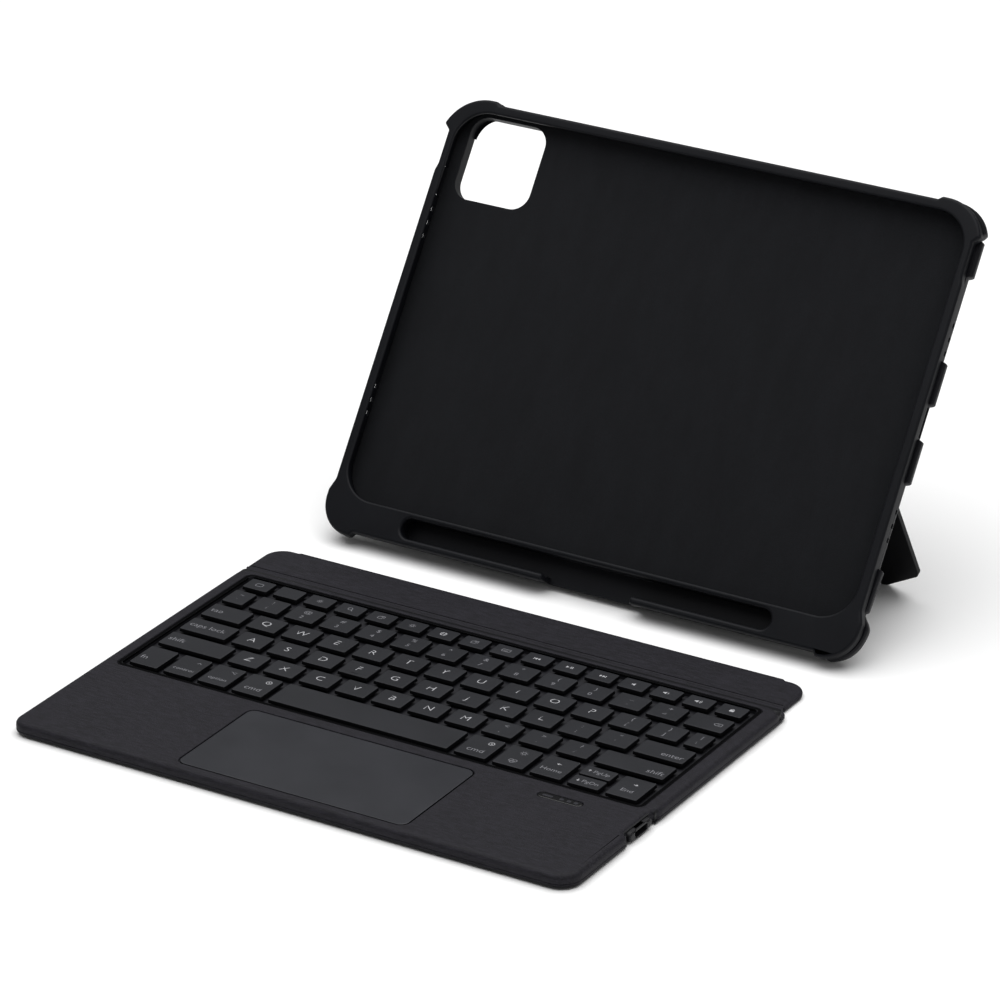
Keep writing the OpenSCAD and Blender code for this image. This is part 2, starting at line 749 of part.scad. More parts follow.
back_shell();
front_frame();
corner_bumpers();
side_grips();
back_lining();
shell_magnets();
hinge_brackets();
hinge_pins();
hinge_screws();
hinge_covers();
power_button();
volume_up_button();
volume_down_button();
kickstand_plate();
kickstand_foot_pad();
strip_core();
strip_magnets();
strip_top_cover();
strip_bottom_cover();
fold_fabric_rear();
fold_fabric_front();
deck_top_cover();
deck_frame();
deck_bottom_cover();
key_tray();
key_membrane();
key_support_plate();
key_domes();
key_scissors();
battery();
main_board();
usb_socket();
indicator_lens();
rubber_feet();
trackpad();
trackpad_board();
trackpad_switch();
function_keys();
number_keys();
upper_letter_keys();
home_letter_keys();
lower_letter_keys();
modifier_keys();
key_space();
key_tab();
key_caps_lock();
key_shift_left();
key_shift_right();
key_enter();
key_backspace();
key_arrow_left();
key_arrow_up();
key_arrow_down();
key_arrow_right();
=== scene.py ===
"""Looks of the tablet keyboard case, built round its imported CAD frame. Local sizes are in millimetres."""
import json
import math

import bpy
import bmesh
from mathutils import Matrix, Vector


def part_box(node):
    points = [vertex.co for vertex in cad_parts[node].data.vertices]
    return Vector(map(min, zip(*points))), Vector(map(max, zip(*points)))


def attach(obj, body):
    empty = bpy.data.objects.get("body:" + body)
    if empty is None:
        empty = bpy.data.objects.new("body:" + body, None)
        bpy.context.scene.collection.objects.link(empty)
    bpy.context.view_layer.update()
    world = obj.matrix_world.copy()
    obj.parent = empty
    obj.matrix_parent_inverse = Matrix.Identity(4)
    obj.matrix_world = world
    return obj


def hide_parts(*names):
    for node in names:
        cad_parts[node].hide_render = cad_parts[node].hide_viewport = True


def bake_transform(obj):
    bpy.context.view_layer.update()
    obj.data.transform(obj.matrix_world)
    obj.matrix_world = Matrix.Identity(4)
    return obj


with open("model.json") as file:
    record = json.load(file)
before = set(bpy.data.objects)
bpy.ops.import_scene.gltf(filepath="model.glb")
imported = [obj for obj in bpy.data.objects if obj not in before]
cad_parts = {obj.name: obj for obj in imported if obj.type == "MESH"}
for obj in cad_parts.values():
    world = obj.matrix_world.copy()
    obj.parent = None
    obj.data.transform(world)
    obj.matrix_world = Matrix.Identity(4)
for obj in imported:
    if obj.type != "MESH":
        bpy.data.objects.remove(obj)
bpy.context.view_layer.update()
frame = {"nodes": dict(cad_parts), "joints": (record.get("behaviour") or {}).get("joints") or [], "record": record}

MM = 0.001
nodes = frame["nodes"]
mounts = {m["name"]: m for m in frame["record"]["mounts"]}
joints = {j["name"]: j for j in frame["joints"]}

# ---------- places ----------

# Shell frame: x across, y up the shell from its lower front edge, z out of its front face
BAY_MID_V = 102.25  # middle of the tablet bay, up the shell
BAY_FLOOR_H = -7.4  # floor of the bay, out of the shell's front face
bay = mounts["tablet_bay"]
TILT = math.atan2(-bay["axis"][1], bay["axis"][2])
SHELL = (
    Matrix.Translation(bay["pos_m"])
    @ Matrix.Rotation(TILT, 4, "X")
    @ Matrix.Scale(MM, 4)
    @ Matrix.Translation((0, -BAY_MID_V, -BAY_FLOOR_H))
)
# Keyboard frame: x from its middle, y from its front edge, z up from the floor
COVER_INSET = 0.4  # the lower cover is this much smaller than the deck all round
lo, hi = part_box("deck_bottom_cover")
KEYS = Matrix.Translation(((lo.x + hi.x) / 2, lo.y - COVER_INSET * MM, 0)) @ Matrix.Scale(MM, 4)


def islands(node, place):
    """Boxes of the separate solids of a CAD node in a local frame, from left to right."""
    mesh, back = nodes[node].data, place.inverted()
    ids, points, link = {}, [], []
    index = []
    for v in mesh.vertices:
        key = tuple(round(c * 1e6) for c in v.co)
        if key not in ids:
            ids[key] = len(points)
            points.append(back @ v.co)
            link.append(len(link))
        index.append(ids[key])

    def root(i):
        while link[i] != i:
            link[i] = link[link[i]]
            i = link[i]
        return i

    for e in mesh.edges:
        a, b = root(index[e.vertices[0]]), root(index[e.vertices[1]])
        if a != b:
            link[a] = b
    groups = {}
    for i, p in enumerate(points):
        groups.setdefault(root(i), []).append(p)
    boxes = [
        tuple(f(p[k] for p in g) for f in (min, max) for k in range(3)) for g in groups.values()
    ]
    return sorted(boxes, key=lambda b: b[0])


# ---------- materials ----------


class Mat:
    """A node material in the making."""

    def __init__(self, name, rough, spec=0.35, metal=0.0):
        self.m = bpy.data.materials.new(name)
        self.m.use_nodes = True
        self.nt = self.m.node_tree
        self.b = self.nt.nodes["Principled BSDF"]
        self.b.inputs["Roughness"].default_value = rough
        self.b.inputs["Specular IOR Level"].default_value = spec
        self.b.inputs["Metallic"].default_value = metal
        self.place = self.add("ShaderNodeTexCoord").outputs["Object"]

    def add(self, kind, props=None, **inputs):
        n = self.nt.nodes.new(kind)
        for k, v in (props or {}).items():
            setattr(n, k, v)
        for k, v in inputs.items():
            s = n.inputs[k.replace("_", " ")]
            if isinstance(v, bpy.types.NodeSocket):
                self.nt.links.new(v, s)
            else:
                s.default_value = v
        return n

    def stretched(self, scale):
        return self.add("ShaderNodeMapping", Vector=self.place, Scale=scale).outputs[0]

    def noise(self, size, detail=2.0, place=None, rough=0.55):
        """Noise whose features are about size millimetres across."""
        return self.add(
            "ShaderNodeTexNoise", Vector=place or self.place, Scale=1 / (size * MM), Detail=detail,
            Roughness=rough,
        ).outputs["Fac"]

    def ramp(self, value, a, b, c=0.0, d=1.0):
        return self.add(
            "ShaderNodeMapRange", {"clamp": True},
            Value=value, From_Min=a, From_Max=b, To_Min=c, To_Max=d,
        ).outputs[0]

    def math(self, op, a, b=0.0):
        n = self.nt.nodes.new("ShaderNodeMath")
        n.operation = op
        for s, v in zip(n.inputs, (a, b)):
            if isinstance(v, bpy.types.NodeSocket):
                self.nt.links.new(v, s)
            else:
                s.default_value = v
        return n.outputs[0]

    def mix(self, fac, a, b):
        n = self.nt.nodes.new("ShaderNodeMix")
        n.data_type = "RGBA"
        for s, v in ((n.inputs[0], fac), (n.inputs[6], a), (n.inputs[7], b)):
            if isinstance(v, bpy.types.NodeSocket):
                self.nt.links.new(v, s)
            else:
                s.default_value = v
        return n.outputs[2]

    def set(self, name, value):
        self.nt.links.new(value, self.b.inputs[name])
        return self

    def bump(self, height, depth, normal=None):
        n = self.add("ShaderNodeBump", Height=height, Strength=1.0, Distance=depth * MM)
        if normal:
            self.nt.links.new(normal, n.inputs["Normal"])
        return n.outputs["Normal"]

    def edges(self, radius):
        """Soft edges, and a mask that is 1 on them."""
        soft = self.add("ShaderNodeBevel", {"samples": 4}, Radius=radius * MM).outputs[0]
        flat = self.add("ShaderNodeNewGeometry").outputs["Normal"]
        dot = self.nt.nodes.new("ShaderNodeVectorMath")
        dot.operation = "DOT_PRODUCT"
        self.nt.links.new(soft, dot.inputs[0])
        self.nt.links.new(flat, dot.inputs[1])
        return soft, self.ramp(dot.outputs["Value"], 0.99, 0.86)


def rgb(hex_code, gain=1.0):
    """Linear colour from an sRGB hex code."""
    out = []
    for i in (0, 2, 4):
        c = int(hex_code[i:i + 2], 16) / 255
        out.append((c / 12.92 if c <= 0.04045 else ((c + 0.055) / 1.055) ** 2.4) * gain)
    return (*out, 1.0)


def tone(color, k):
    """The colour made k times as bright."""
    return (color[0] * k, color[1] * k, color[2] * k, 1.0)


def moulded(name, color, rough=0.5, spec=0.3, grain=0.5, depth=0.012, edge=0.0, wear=1.25):
    """Moulded plastic, rubber or coated metal: fine spark texture, uneven gloss, edges rubbed paler."""
    m = Mat(name, rough, spec)
    fine, broad = m.noise(grain, 3), m.noise(28, 3)
    base = m.mix(m.ramp(broad, 0.35, 0.65), tone(color, 0.9), tone(color, 1.1))
    speck = m.ramp(m.noise(grain * 2.2, 1), 0.56, 0.72)
    base = m.mix(m.math("MULTIPLY", speck, 0.25), base, tone(color, 1.35))
    normal = None
    if edge:
        normal, mask = m.edges(edge)
        scuff = m.math("MULTIPLY", mask, m.ramp(m.noise(5, 4), 0.3, 0.62))
        base = m.mix(scuff, base, tone(color, wear))
    m.set("Base Color", base)
    uneven = m.math("ADD", m.math("MULTIPLY", broad, 0.14), m.math("MULTIPLY", fine, 0.08))
    m.set("Roughness", m.math("ADD", uneven, rough - 0.11))
    m.set("Normal", m.bump(fine, depth, normal))
    return m.m


def leather(name, color, rough=0.62, grain=0.8, depth=0.045):
    """Thin coated leathercloth: fine pebbles with creases between, the creases painted darker as shade, and faint
    cross-wise streaks.
    """
    m = Mat(name, rough, 0.16)
    bend = m.add("ShaderNodeVectorMath", {"operation": "MULTIPLY_ADD"})
    wob = m.add("ShaderNodeTexNoise", Vector=m.place, Scale=1 / (2.6 * MM), Detail=2.0).outputs["Color"]
    m.nt.links.new(wob, bend.inputs[0])
    bend.inputs[1].default_value = (0.5 * MM,) * 3
    m.nt.links.new(m.place, bend.inputs[2])
    warped = bend.outputs[0]
    cell = m.add(
        "ShaderNodeTexVoronoi", {"feature": "DISTANCE_TO_EDGE"}, Vector=warped, Scale=1 / (grain * MM)
    )
    cells = m.ramp(cell.outputs["Distance"], 0.0, 0.32)
    fine = m.noise(0.3, 3)
    streak = m.noise(0.9, 4, m.stretched((0.16, 1.0, 1.0)), 0.7)
    broad = m.noise(34, 3)
    base = m.mix(m.ramp(broad, 0.3, 0.7), tone(color, 0.78), tone(color, 1.12))
    base = m.mix(m.ramp(streak, 0.4, 0.62, 0.0, 0.9), base, tone(color, 2.1))
    # painted shade: the colour darkens towards the creases between the pebbles
    base = m.mix(m.ramp(cells, 0.0, 0.5, 0.6, 0.0), base, tone(color, 0.5))
    m.set("Base Color", base)
    m.set("Roughness", m.math("ADD", m.math("MULTIPLY", streak, 0.2), rough - 0.1))
    height = m.math("ADD", cells, m.math("MULTIPLY", fine, 0.5))
    m.set("Normal", m.bump(height, depth))
    return m.m


def napped(name, color):
    """Short microfibre nap with a faint two-way weave."""
    m = Mat(name, 0.95, 0.12)
    hair = m.noise(0.35, 4, None, 0.75)
    brushed = m.noise(9, 5, m.stretched((1.0, 0.35, 0.35)), 0.6)
    base = m.mix(m.ramp(brushed, 0.32, 0.68), tone(color, 0.82), tone(color, 1.2))
    base = m.mix(m.ramp(hair, 0.35, 0.65), tone(color, 0.7), base)
    m.set("Base Color", base)
    m.set("Normal", m.bump(hair, 0.12))
    m.b.inputs["Sheen Weight"].default_value = 0.12
    m.b.inputs["Sheen Roughness"].default_value = 0.45
    return m.m


def metal(name, color, rough=0.3):
    """Bare metal, brushed across."""
    m = Mat(name, rough, 0.5, 1.0)
    line = m.noise(0.25, 4, m.stretched((1.0, 0.03, 0.03)), 0.6)
    soft, mask = m.edges(0.2)
    m.set("Base Color", m.mix(m.ramp(line, 0.3, 0.7), tone(color, 0.86), tone(color, 1.05)))
    m.set("Roughness", m.math("ADD", m.math("MULTIPLY", line, 0.2), rough - 0.06))
    m.set("Normal", m.bump(line, 0.004, soft))
    return m.m


def print_ink(name, color):
    """Printed lettering, slightly uneven."""
    m = Mat(name, 0.5, 0.3)
    m.set("Base Color", m.mix(m.ramp(m.noise(0.6, 2), 0.35, 0.65), tone(color, 0.85), color))
    m.set("Normal", m.bump(m.noise(0.3, 2), 0.004))
    return m.m


M = {
    "shell": moulded("shell_plastic", rgb("0d0e12"), 0.5, 0.13, 0.45, 0.010, 0.35, 1.7),
    "frame": moulded("frame_plastic", rgb("0d0e12"), 0.46, 0.13, 0.45, 0.008, 0.0, 1.5),
    "tpu": moulded("bumper_tpu", rgb("0e0e12"), 0.5, 0.13, 0.5, 0.012, 0.0, 1.5),
    "nap": napped("lining_fabric", rgb("16171a")),
    "leather": leather("pu_leather", rgb("19181d")),
    "base": moulded("base_plastic", rgb("141417"), 0.5, 0.2, 0.5, 0.012, 0.25),
    "tray": moulded("tray_plastic", rgb("1b1b1f"), 0.55, 0.18, 0.5, 0.012),
    # painted shade: a near-black, almost unreflecting sheet laid where the tray's rim lies in shade
    "painted_shade_rim": moulded("tray_painted_shade_rim", rgb("040405"), 0.8, 0.03, 0.5, 0.012),
    "key_top": moulded("key_top", rgb("1d1e22"), 0.46, 0.22, 0.4, 0.008),
    # key sides near-black and tops lighter: partly the caps' dark plastic, partly painted shade on the sides
    "key_side_dark_and_shade": moulded("key_side_dark_and_shade", rgb("060608"), 0.5, 0.1, 0.5, 0.008),
    "ink": print_ink("key_legend", rgb("b4b4b8")),
    "ink_dim": print_ink("key_legend_dim", rgb("7c7c81")),
    "pad": moulded("pad_surface", rgb("222328"), 0.34, 0.34, 0.3, 0.003),
    "kick": moulded("kick_metal", rgb("040406"), 0.42, 0.07, 0.35, 0.010, 0.4, 3.0),
    "rubber": moulded("foot_rubber", rgb("0c0c0e"), 0.75, 0.15, 0.7, 0.03, 0.3),
    "steel": metal("steel", rgb("9c9fa4")),
    "nickel": metal("magnet_nickel", rgb("b8babd"), 0.2),
    "fibre": moulded("fibre_board", rgb("3c4247"), 0.7, 0.2, 0.8, 0.02),
    "circuit": moulded("circuit", rgb("12492a"), 0.4, 0.4, 0.6, 0.02),
    "film": moulded("film", rgb("3a3c3e"), 0.35, 0.3, 0.8, 0.01),
    "dome": moulded("dome_rubber", rgb("1a1a1c"), 0.6, 0.2, 0.8, 0.01),
    "scissor": moulded("scissor_plastic", rgb("141416"), 0.5, 0.2, 0.8, 0.01),
    "cell": moulded("cell_foil", rgb("3f628f"), 0.35, 0.4, 1.2, 0.03),
    "lens": moulded("lens_plastic", rgb("0a0a0c"), 0.22, 0.35, 1.0, 0.003),
    "window": moulded("lens_window", rgb("2c2c31"), 0.3, 0.3, 1.0, 0.003),
}

# ---------- shapes ----------


def path(points, turn=6.0):
    """Closed outline with round corners from (x, y, radius) points, anticlockwise."""
    out, n = [], len(points)
    for i, (x, y, r) in enumerate(points):
        p, a, b = Vector((x, y)), Vector(points[i - 1][:2]), Vector(points[(i + 1) % n][:2])
        da, db = (a - p).normalized(), (b - p).normalized()
        corner = da.angle(db)
        if r <= 0 or corner > math.pi - 1e-4:
            out.append(p)
            continue
        mid = p + (da + db).normalized() * (r / math.sin(corner / 2))
        cut = r / math.tan(corner / 2)
        s, e = p + da * cut - mid, p + db * cut - mid
        a0 = math.atan2(s.y, s.x)
        sweep = (math.atan2(e.y, e.x) - a0 + math.pi) % (2 * math.pi) - math.pi
        steps = max(2, round(abs(sweep) / math.radians(turn)))
        for k in range(steps + 1):
            t = a0 + sweep * k / steps
            out.append(mid + Vector((math.cos(t), math.sin(t))) * r)
    return out


def rect(x0, y0, x1, y1, r, turn=9.0):
    return path([(x0, y0, r), (x1, y0, r), (x1, y1, r), (x0, y1, r)], turn)


def capsule(x, y, length, wide, turn=10.0):
    return rect(x - length / 2, y - wide / 2, x + length / 2, y + wide / 2, wide / 2 - 0.001, turn)


def normals(loop):
    """Inward unit normals of an anticlockwise outline, lengthened at its corners to keep an even inset."""
    out, n = [], len(loop)
    for i, p in enumerate(loop):
        a, b = p - loop[i - 1], loop[(i + 1) % n] - p
        na, nb = Vector((-a.y, a.x)).normalized(), Vector((-b.y, b.x)).normalized()
        m = (na + nb).normalized()
        out.append(m / max(0.5, m.dot(na)))
    return out


def inset(loop, d):
    return [p + n * d for p, n in zip(loop, normals(loop))]


class Build:
    """A mesh made of rings of points, in a local frame."""

    def __init__(self):
        self.bm = bmesh.new()

    def ring(self, loop, z):
        zs = z if hasattr(z, "__len__") else [z] * len(loop)
        return [self.bm.verts.new((p[0], p[1], h)) for p, h in zip(loop, zs)]

    def points(self, pts):
        return [self.bm.verts.new(p) for p in pts]

    def bridge(self, a, b, mat=0, closed=True):
        n = len(a)
        for i in range(n if closed else n - 1):
            j = (i + 1) % n
            f = self.bm.faces.new((a[i], a[j], b[j], b[i]))
            f.material_index = mat
            f.smooth = True

    def skin(self, rings, mat=0, closed=True):
        mats = mat if hasattr(mat, "__len__") else [mat] * (len(rings) - 1)
        for a, b, m in zip(rings, rings[1:], mats):
            self.bridge(a, b, m, closed)
        return rings[-1]

    def fill(self, rings, mat=0):
        """Flat face inside the first ring with the other rings as holes."""
        edges = []
        for r in rings:
            for i in range(len(r)):
                a, b = r[i - 1], r[i]
                edges.append(self.bm.edges.get((a, b)) or self.bm.edges.new((a, b)))
        made = bmesh.ops.triangle_fill(self.bm, use_beauty=True, use_dissolve=False, edges=edges)
        for f in made["geom"]:
            if isinstance(f, bmesh.types.BMFace):
                f.material_index = mat
                f.smooth = True

    def grid(self, rows, mat=0):
        lines = [self.points(r) for r in rows]
        self.skin(lines, mat, closed=False)
        return lines

    def finish(self, name, place, mats, angle=38.0, weighted=True):
        bmesh.ops.transform(self.bm, matrix=place, verts=self.bm.verts)
        bmesh.ops.recalc_face_normals(self.bm, faces=self.bm.faces)
        mesh = bpy.data.meshes.new(name)
        self.bm.to_mesh(mesh)
        self.bm.free()
        for m in mats:
            mesh.materials.append(M[m])
        mesh.set_sharp_from_angle(angle=math.radians(angle))
        o = bpy.data.objects.new(name, mesh)
        bpy.context.scene.collection.objects.link(o)
        if weighted:
            w = o.modifiers.new("weighted", "WEIGHTED_NORMAL")
            w.keep_sharp = True
        return o


def arc(z0, z1, d, steps=5, start=0.0):
    """(inset, height) pairs of a quarter round from a wall at z0 to a face at z1 that lies d further in."""
    out = []
    for k in range(steps + 1):
        a = math.pi / 2 * k / steps
        out.append((start + d * (1 - math.cos(a)), z0 + (z1 - z0) * math.sin(a)))
    return out


def smooth(t):
    t = min(1.0, max(0.0, t))
    return t * t * (3 - 2 * t)


def refine(node, mat, width=0.25, segments=2):
    """Gives a CAD node its material, soft edges and even shading."""
    o = nodes[node]
    o.data.materials.clear()
    o.data.materials.append(M[mat])
    bpy.context.view_layer.objects.active = o
    o.select_set(True)
    bpy.ops.mesh.customdata_custom_splitnormals_clear()
    o.select_set(False)
    for p in o.data.polygons:
        p.use_smooth = True
    weld = o.modifiers.new("weld", "WELD")
    weld.merge_threshold = 2e-6
    if width:
        b = o.modifiers.new("bevel", "BEVEL")
        b.width = width * MM
        b.segments = segments
        b.limit_method = "ANGLE"
        b.angle_limit = math.radians(40)
    w = o.modifiers.new("weighted", "WEIGHTED_NORMAL")
    w.keep_sharp = True
    return o


# ---------- keyboard ----------

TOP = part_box("deck_top_cover")[1].z / MM
DECK_Z0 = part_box("deck_top_cover")[0].z / MM


def local_box(node, place):
    b = islands(node, place)
    return tuple(min(x[k] for x in b) for k in range(3)) + tuple(max(x[k] for x in b) for k in range(3, 6))


tray_box = local_box("key_tray", KEYS)
pad_box = local_box("trackpad", KEYS)
lens_box = local_box("indicator_lens", KEYS)
strip_box = local_box("strip_top_cover", KEYS)
half = local_box("deck_top_cover", KEYS)[3]
deck_end = local_box("deck_top_cover", KEYS)[4]

usb_box = local_box("usb_socket", KEYS)
usb_mid = (usb_box[1] + usb_box[4]) / 2
NOTCH = 11.0  # half the length of the dent round the charging socket
DENT = 2.35  # and its depth
REAR_LIP = 0.7  # how far the cover's rear edge stands past the deck
rear_y = deck_end + REAR_LIP
outline = path([
    (-half, 0, 6.8), (half, 0, 9.5),
    (half, usb_mid - NOTCH - 1.0, 1.2), (half - DENT, usb_mid - NOTCH + 1.4, 1.6),
    (half - DENT, usb_mid + NOTCH - 3.0, 5), (half, usb_mid + NOTCH + 3.5, 7),
    (half, rear_y, 7.5), (-half, rear_y, 7.5),
])
inward = normals(outline)
# Edge profiles as (inset, height) pairs: the sides carry a seam low down, the rear edge is thin and slopes
ROLL_DOWN, ROLL_IN = 2.3, 2.7  # the rounding of the side's upper edge
side_profile = [
    (0.6, DECK_Z0 + 0.05), (0.14, DECK_Z0 + 0.2), (0.0, DECK_Z0 + 0.55), (0.05, DECK_Z0 + 0.85),
    (0.28, DECK_Z0 + 1.0), (0.06, DECK_Z0 + 1.15), (0.0, DECK_Z0 + 1.5), (0.0, TOP - ROLL_DOWN),
]
side_profile += arc(TOP - ROLL_DOWN, TOP, ROLL_IN, 7)[1:]
rear_profile = [
    (0.0, DECK_Z0 + 0.05), (0.04, DECK_Z0 + 0.1), (0.08, DECK_Z0 + 0.16), (0.14, DECK_Z0 + 0.24),
    (0.2, DECK_Z0 + 0.32), (0.27, DECK_Z0 + 0.42), (0.36, DECK_Z0 + 0.54), (0.5, DECK_Z0 + 0.7),
]
SLOPE_IN, SLOPE_FOOT = 3.9, 0.7  # the slope behind the keys, and the height at which it starts
slope_rise = TOP - DECK_Z0 - SLOPE_FOOT
rear_profile += [
    (0.5 + SLOPE_IN * k / 7, DECK_Z0 + SLOPE_FOOT + slope_rise * smooth(k / 7)) for k in range(1, 8)
]
REAR_FROM = 140  # only points behind this line take the rear profile


def deck_ring(k):
    """Ring k of the cover: points and heights, blended from the side profile into the rear profile."""
    (si, sz), (ri, rz) = side_profile[k], rear_profile[k]
    pts, zs = [], []
    for p, n in zip(outline, inward):
        w = smooth(-n.y * 1.15) if p.y > REAR_FROM else 0.0
        pts.append((p.x + n.x * si, p.y + n.y * (si + (ri - si) * w)))
        zs.append(sz + (rz - sz) * w)
    return pts, zs


def hole_rings(b, loop, depth, lip=0.45):
    """Rings of a leather edge that rolls down into a hole, from the top face down."""
    steps = [
        (-lip, TOP), (-lip * 0.45, TOP - 0.06), (-lip * 0.1, TOP - 0.22), (0.0, TOP - 0.45), (0.0, depth),
    ]
    return [b.ring(inset(loop, d), z) for d, z in steps]


# Leather cover of the deck
b = Build()
rings = [b.ring(*deck_ring(k)) for k in range(len(side_profile))]
b.skin(rings)
TRAY_GAP, PAD_GAP = 0.2, 0.6  # between the cover and what shows in its openings
tray_hole = rect(
    tray_box[0] - TRAY_GAP, tray_box[1] - TRAY_GAP, tray_box[3] + TRAY_GAP, tray_box[4] + TRAY_GAP, 3.4
)
pad_hole = rect(pad_box[0] - PAD_GAP, pad_box[1] - PAD_GAP, pad_box[3] + PAD_GAP, pad_box[4] + PAD_GAP, 4.2)
led_mid = ((lens_box[0] + lens_box[3]) / 2, (lens_box[1] + lens_box[4]) / 2)
LED_LENGTH, LED_WIDE = 20.0, 4.5
led_hole = capsule(*led_mid, LED_LENGTH, LED_WIDE)
tops = [rings[-1]]
for loop, depth in ((tray_hole, 5.6), (pad_hole, 5.2), (led_hole, 5.5)):
    r = hole_rings(b, loop, depth)
    b.skin(r)
    tops.append(r[0])
b.fill(tops)
deck_leather = b.finish("deck_leather", KEYS, ["leather"], 50)
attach(deck_leather, "deck")
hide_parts("deck_top_cover")

# Near-black ring round the tray's opening: painted shade of the groove between the leather and the keys
SHADE_RIM_WIDTH = 1.62  # its width
SLACK = 0.03
b = Build()
zt = tray_box[5] + 0.02
shade_rim_outline = rect(tray_box[0] + SLACK, tray_box[1] + SLACK, tray_box[3] - SLACK, tray_box[4] - SLACK, 3.2)
rings = [b.ring(inset(shade_rim_outline, d), z) for d, z in
         [(0.0, zt - 0.3), (0.0, zt - 0.04), (0.06, zt), (SHADE_RIM_WIDTH - 0.1, zt), (SHADE_RIM_WIDTH, zt - 0.1), (SHADE_RIM_WIDTH, zt - 0.9)]]
b.skin(rings)
b.bridge(rings[-1], rings[0], 0)
painted_shade_rim = b.finish("tray_painted_shade_rim", KEYS, ["painted_shade_rim"], 50)
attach(painted_shade_rim, "deck")

# Magnetic strip: two bonded covers with a seam round the edge
sx0, sx1, y0, y1 = strip_box[0], strip_box[3], strip_box[1], strip_box[4]
STEP = 12.6  # the strip's rear corners are set forward over this width
strip_line = path([
    (sx0, y0, 1.2), (sx1, y0, 1.2), (sx1, y1 - 1.0, 8.8), (sx1 - STEP + 1.2, y1 - 1.0, 1.2),
    (sx1 - STEP, y1, 1.2), (sx0 + STEP, y1, 1.2), (sx0 + STEP - 1.2, y1 - 0.7, 1.2), (sx0, y1 - 0.7, 8.8),
])
strip_in = normals(strip_line)
S0, S1 = 0.3, strip_box[5]
SEAM = 1.3  # height of the seam above the strip's lower face
strip_profile = [
    (0.9, S0), (0.45, S0 + 0.08), (0.12, S0 + 0.4), (0.0, S0 + 0.9), (0.0, S0 + 1.2), (0.22, S0 + SEAM),
    (0.0, S0 + 1.4),
]
strip_profile += arc(S0 + 1.5, S1, 1.3, 6)
b = Build()
rings = []
for d, z in strip_profile:
    pts, zs = [], []
    for p, n in zip(strip_line, strip_in):
        w = smooth(n.y * 1.1) if p.y < y0 + 6 else 0.0
        pts.append((p.x + n.x * d, p.y + n.y * (d + 0.25 * w * max(0.0, z - S0 - SEAM))))
        zs.append(z)
    rings.append(b.ring(pts, zs))
b.skin(rings)
b.fill([rings[0]])
b.fill([rings[-1]])
strip_leather = b.finish("strip_leather", KEYS, ["leather"], 50)
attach(strip_leather, "strip")
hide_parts("strip_top_cover", "strip_bottom_cover")

# Fold: one thin band of leather bonded under both sides, with a slight dip along the fold
fold = joints["deck_fold"]
fold_y = (KEYS.inverted() @ Vector(fold["pos_m"])).y
BAND0, BAND1 = fold_y - 13.5, fold_y + 5.3  # its ends, tucked under the deck's cover and beside the strip
SEAT_Z, UNDER_Z = 2.02, 1.22  # its upper face under the deck's cover, and its lower face
band_ys = [BAND0 + 1.2 * k for k in range(8)]
band_ys += [fold_y - 4.2 + 0.55 * k for k in range(17)] + [BAND1]
COLS = 84  # columns of faces across the band


def band_row(y, under):
    """Points across the band at one y, on its upper or its lower face."""
    t = smooth((y - deck_end) / (y0 - deck_end))
    xa, xb = -half + 0.35 + (sx0 + half) * t, half - 0.5 + (sx1 - half) * t
    rise = smooth((y - deck_end + 1.0) / (y0 - deck_end - 0.5))
    lie = SEAT_Z + (strip_box[5] + 0.02 - SEAT_Z) * rise if y < y0 + 0.2 else SEAT_Z
    dip = 0.3 * math.exp(-((y - fold_y) / 0.7) ** 2)
    row = []
    for i in range(COLS + 1):
        x = xa + (xb - xa) * i / COLS
        ripple = 0.06 * math.sin(x * 0.21 + y) * math.exp(-((y - fold_y) / 2.4) ** 2)
        row.append((x, y, UNDER_Z if under else lie - dip + ripple))
    return row


b = Build()
top_rows = b.grid([band_row(y, False) for y in band_ys])
low_rows = b.grid([band_row(y, True) for y in band_ys])
b.bridge(top_rows[0], low_rows[0], 0, False)
b.bridge(top_rows[-1], low_rows[-1], 0, False)
for end in (0, -1):
    b.bridge([r[end] for r in top_rows], [r[end] for r in low_rows], 0, False)
fold_band = b.finish("fold_band", KEYS, ["leather"], 60, False)
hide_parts("fold_fabric_rear", "fold_fabric_front")
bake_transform(fold_band)

# Moulded surround of the charging socket
b = Build()
us, uz = half - 0.35, (usb_box[2] + usb_box[5]) / 2


def on_side(loop, x):
    """Ring of an outline that stands upright, at a distance x from the deck's middle."""
    return [b.bm.verts.new((x, p[0], p[1])) for p in loop]


face = rect(usb_mid - 8.6, 0.95, usb_mid + 8.6, 4.95, 1.9, 12)
mouth = capsule(usb_mid, uz, 9.3, 3.5, 12)
port_back = half - 4
outer = [on_side(inset(face, d), x) for d, x in ((0, port_back), (0, us - 0.7), (0.25, us - 0.2), (0.7, us))]
b.skin(outer)
inner = [
    on_side(inset(mouth, d), x) for d, x in ((-0.35, us), (-0.08, us - 0.12), (0, us - 0.4), (0, port_back))
]
b.skin(inner)
b.fill([outer[-1], inner[0]])
b.fill([outer[0], inner[-1]])
port = b.finish("charging_surround", KEYS, ["base"], 50)
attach(port, "deck")

refine("deck_bottom_cover", "base", 0.2)
refine("deck_frame", "base", 0.0)
refine("key_tray", "tray", 0.22)
refine("usb_socket", "steel", 0.12)
refine("rubber_feet", "rubber", 0.15)
for n, m in (
    ("key_membrane", "film"), ("key_support_plate", "steel"), ("key_domes", "dome"),
    ("key_scissors", "scissor"), ("battery", "cell"), ("main_board", "circuit"),
    ("trackpad_board", "circuit"), ("trackpad_switch", "steel"), ("strip_core", "fibre"),
    ("strip_magnets", "nickel"),
):
    refine(n, m, 0.0)

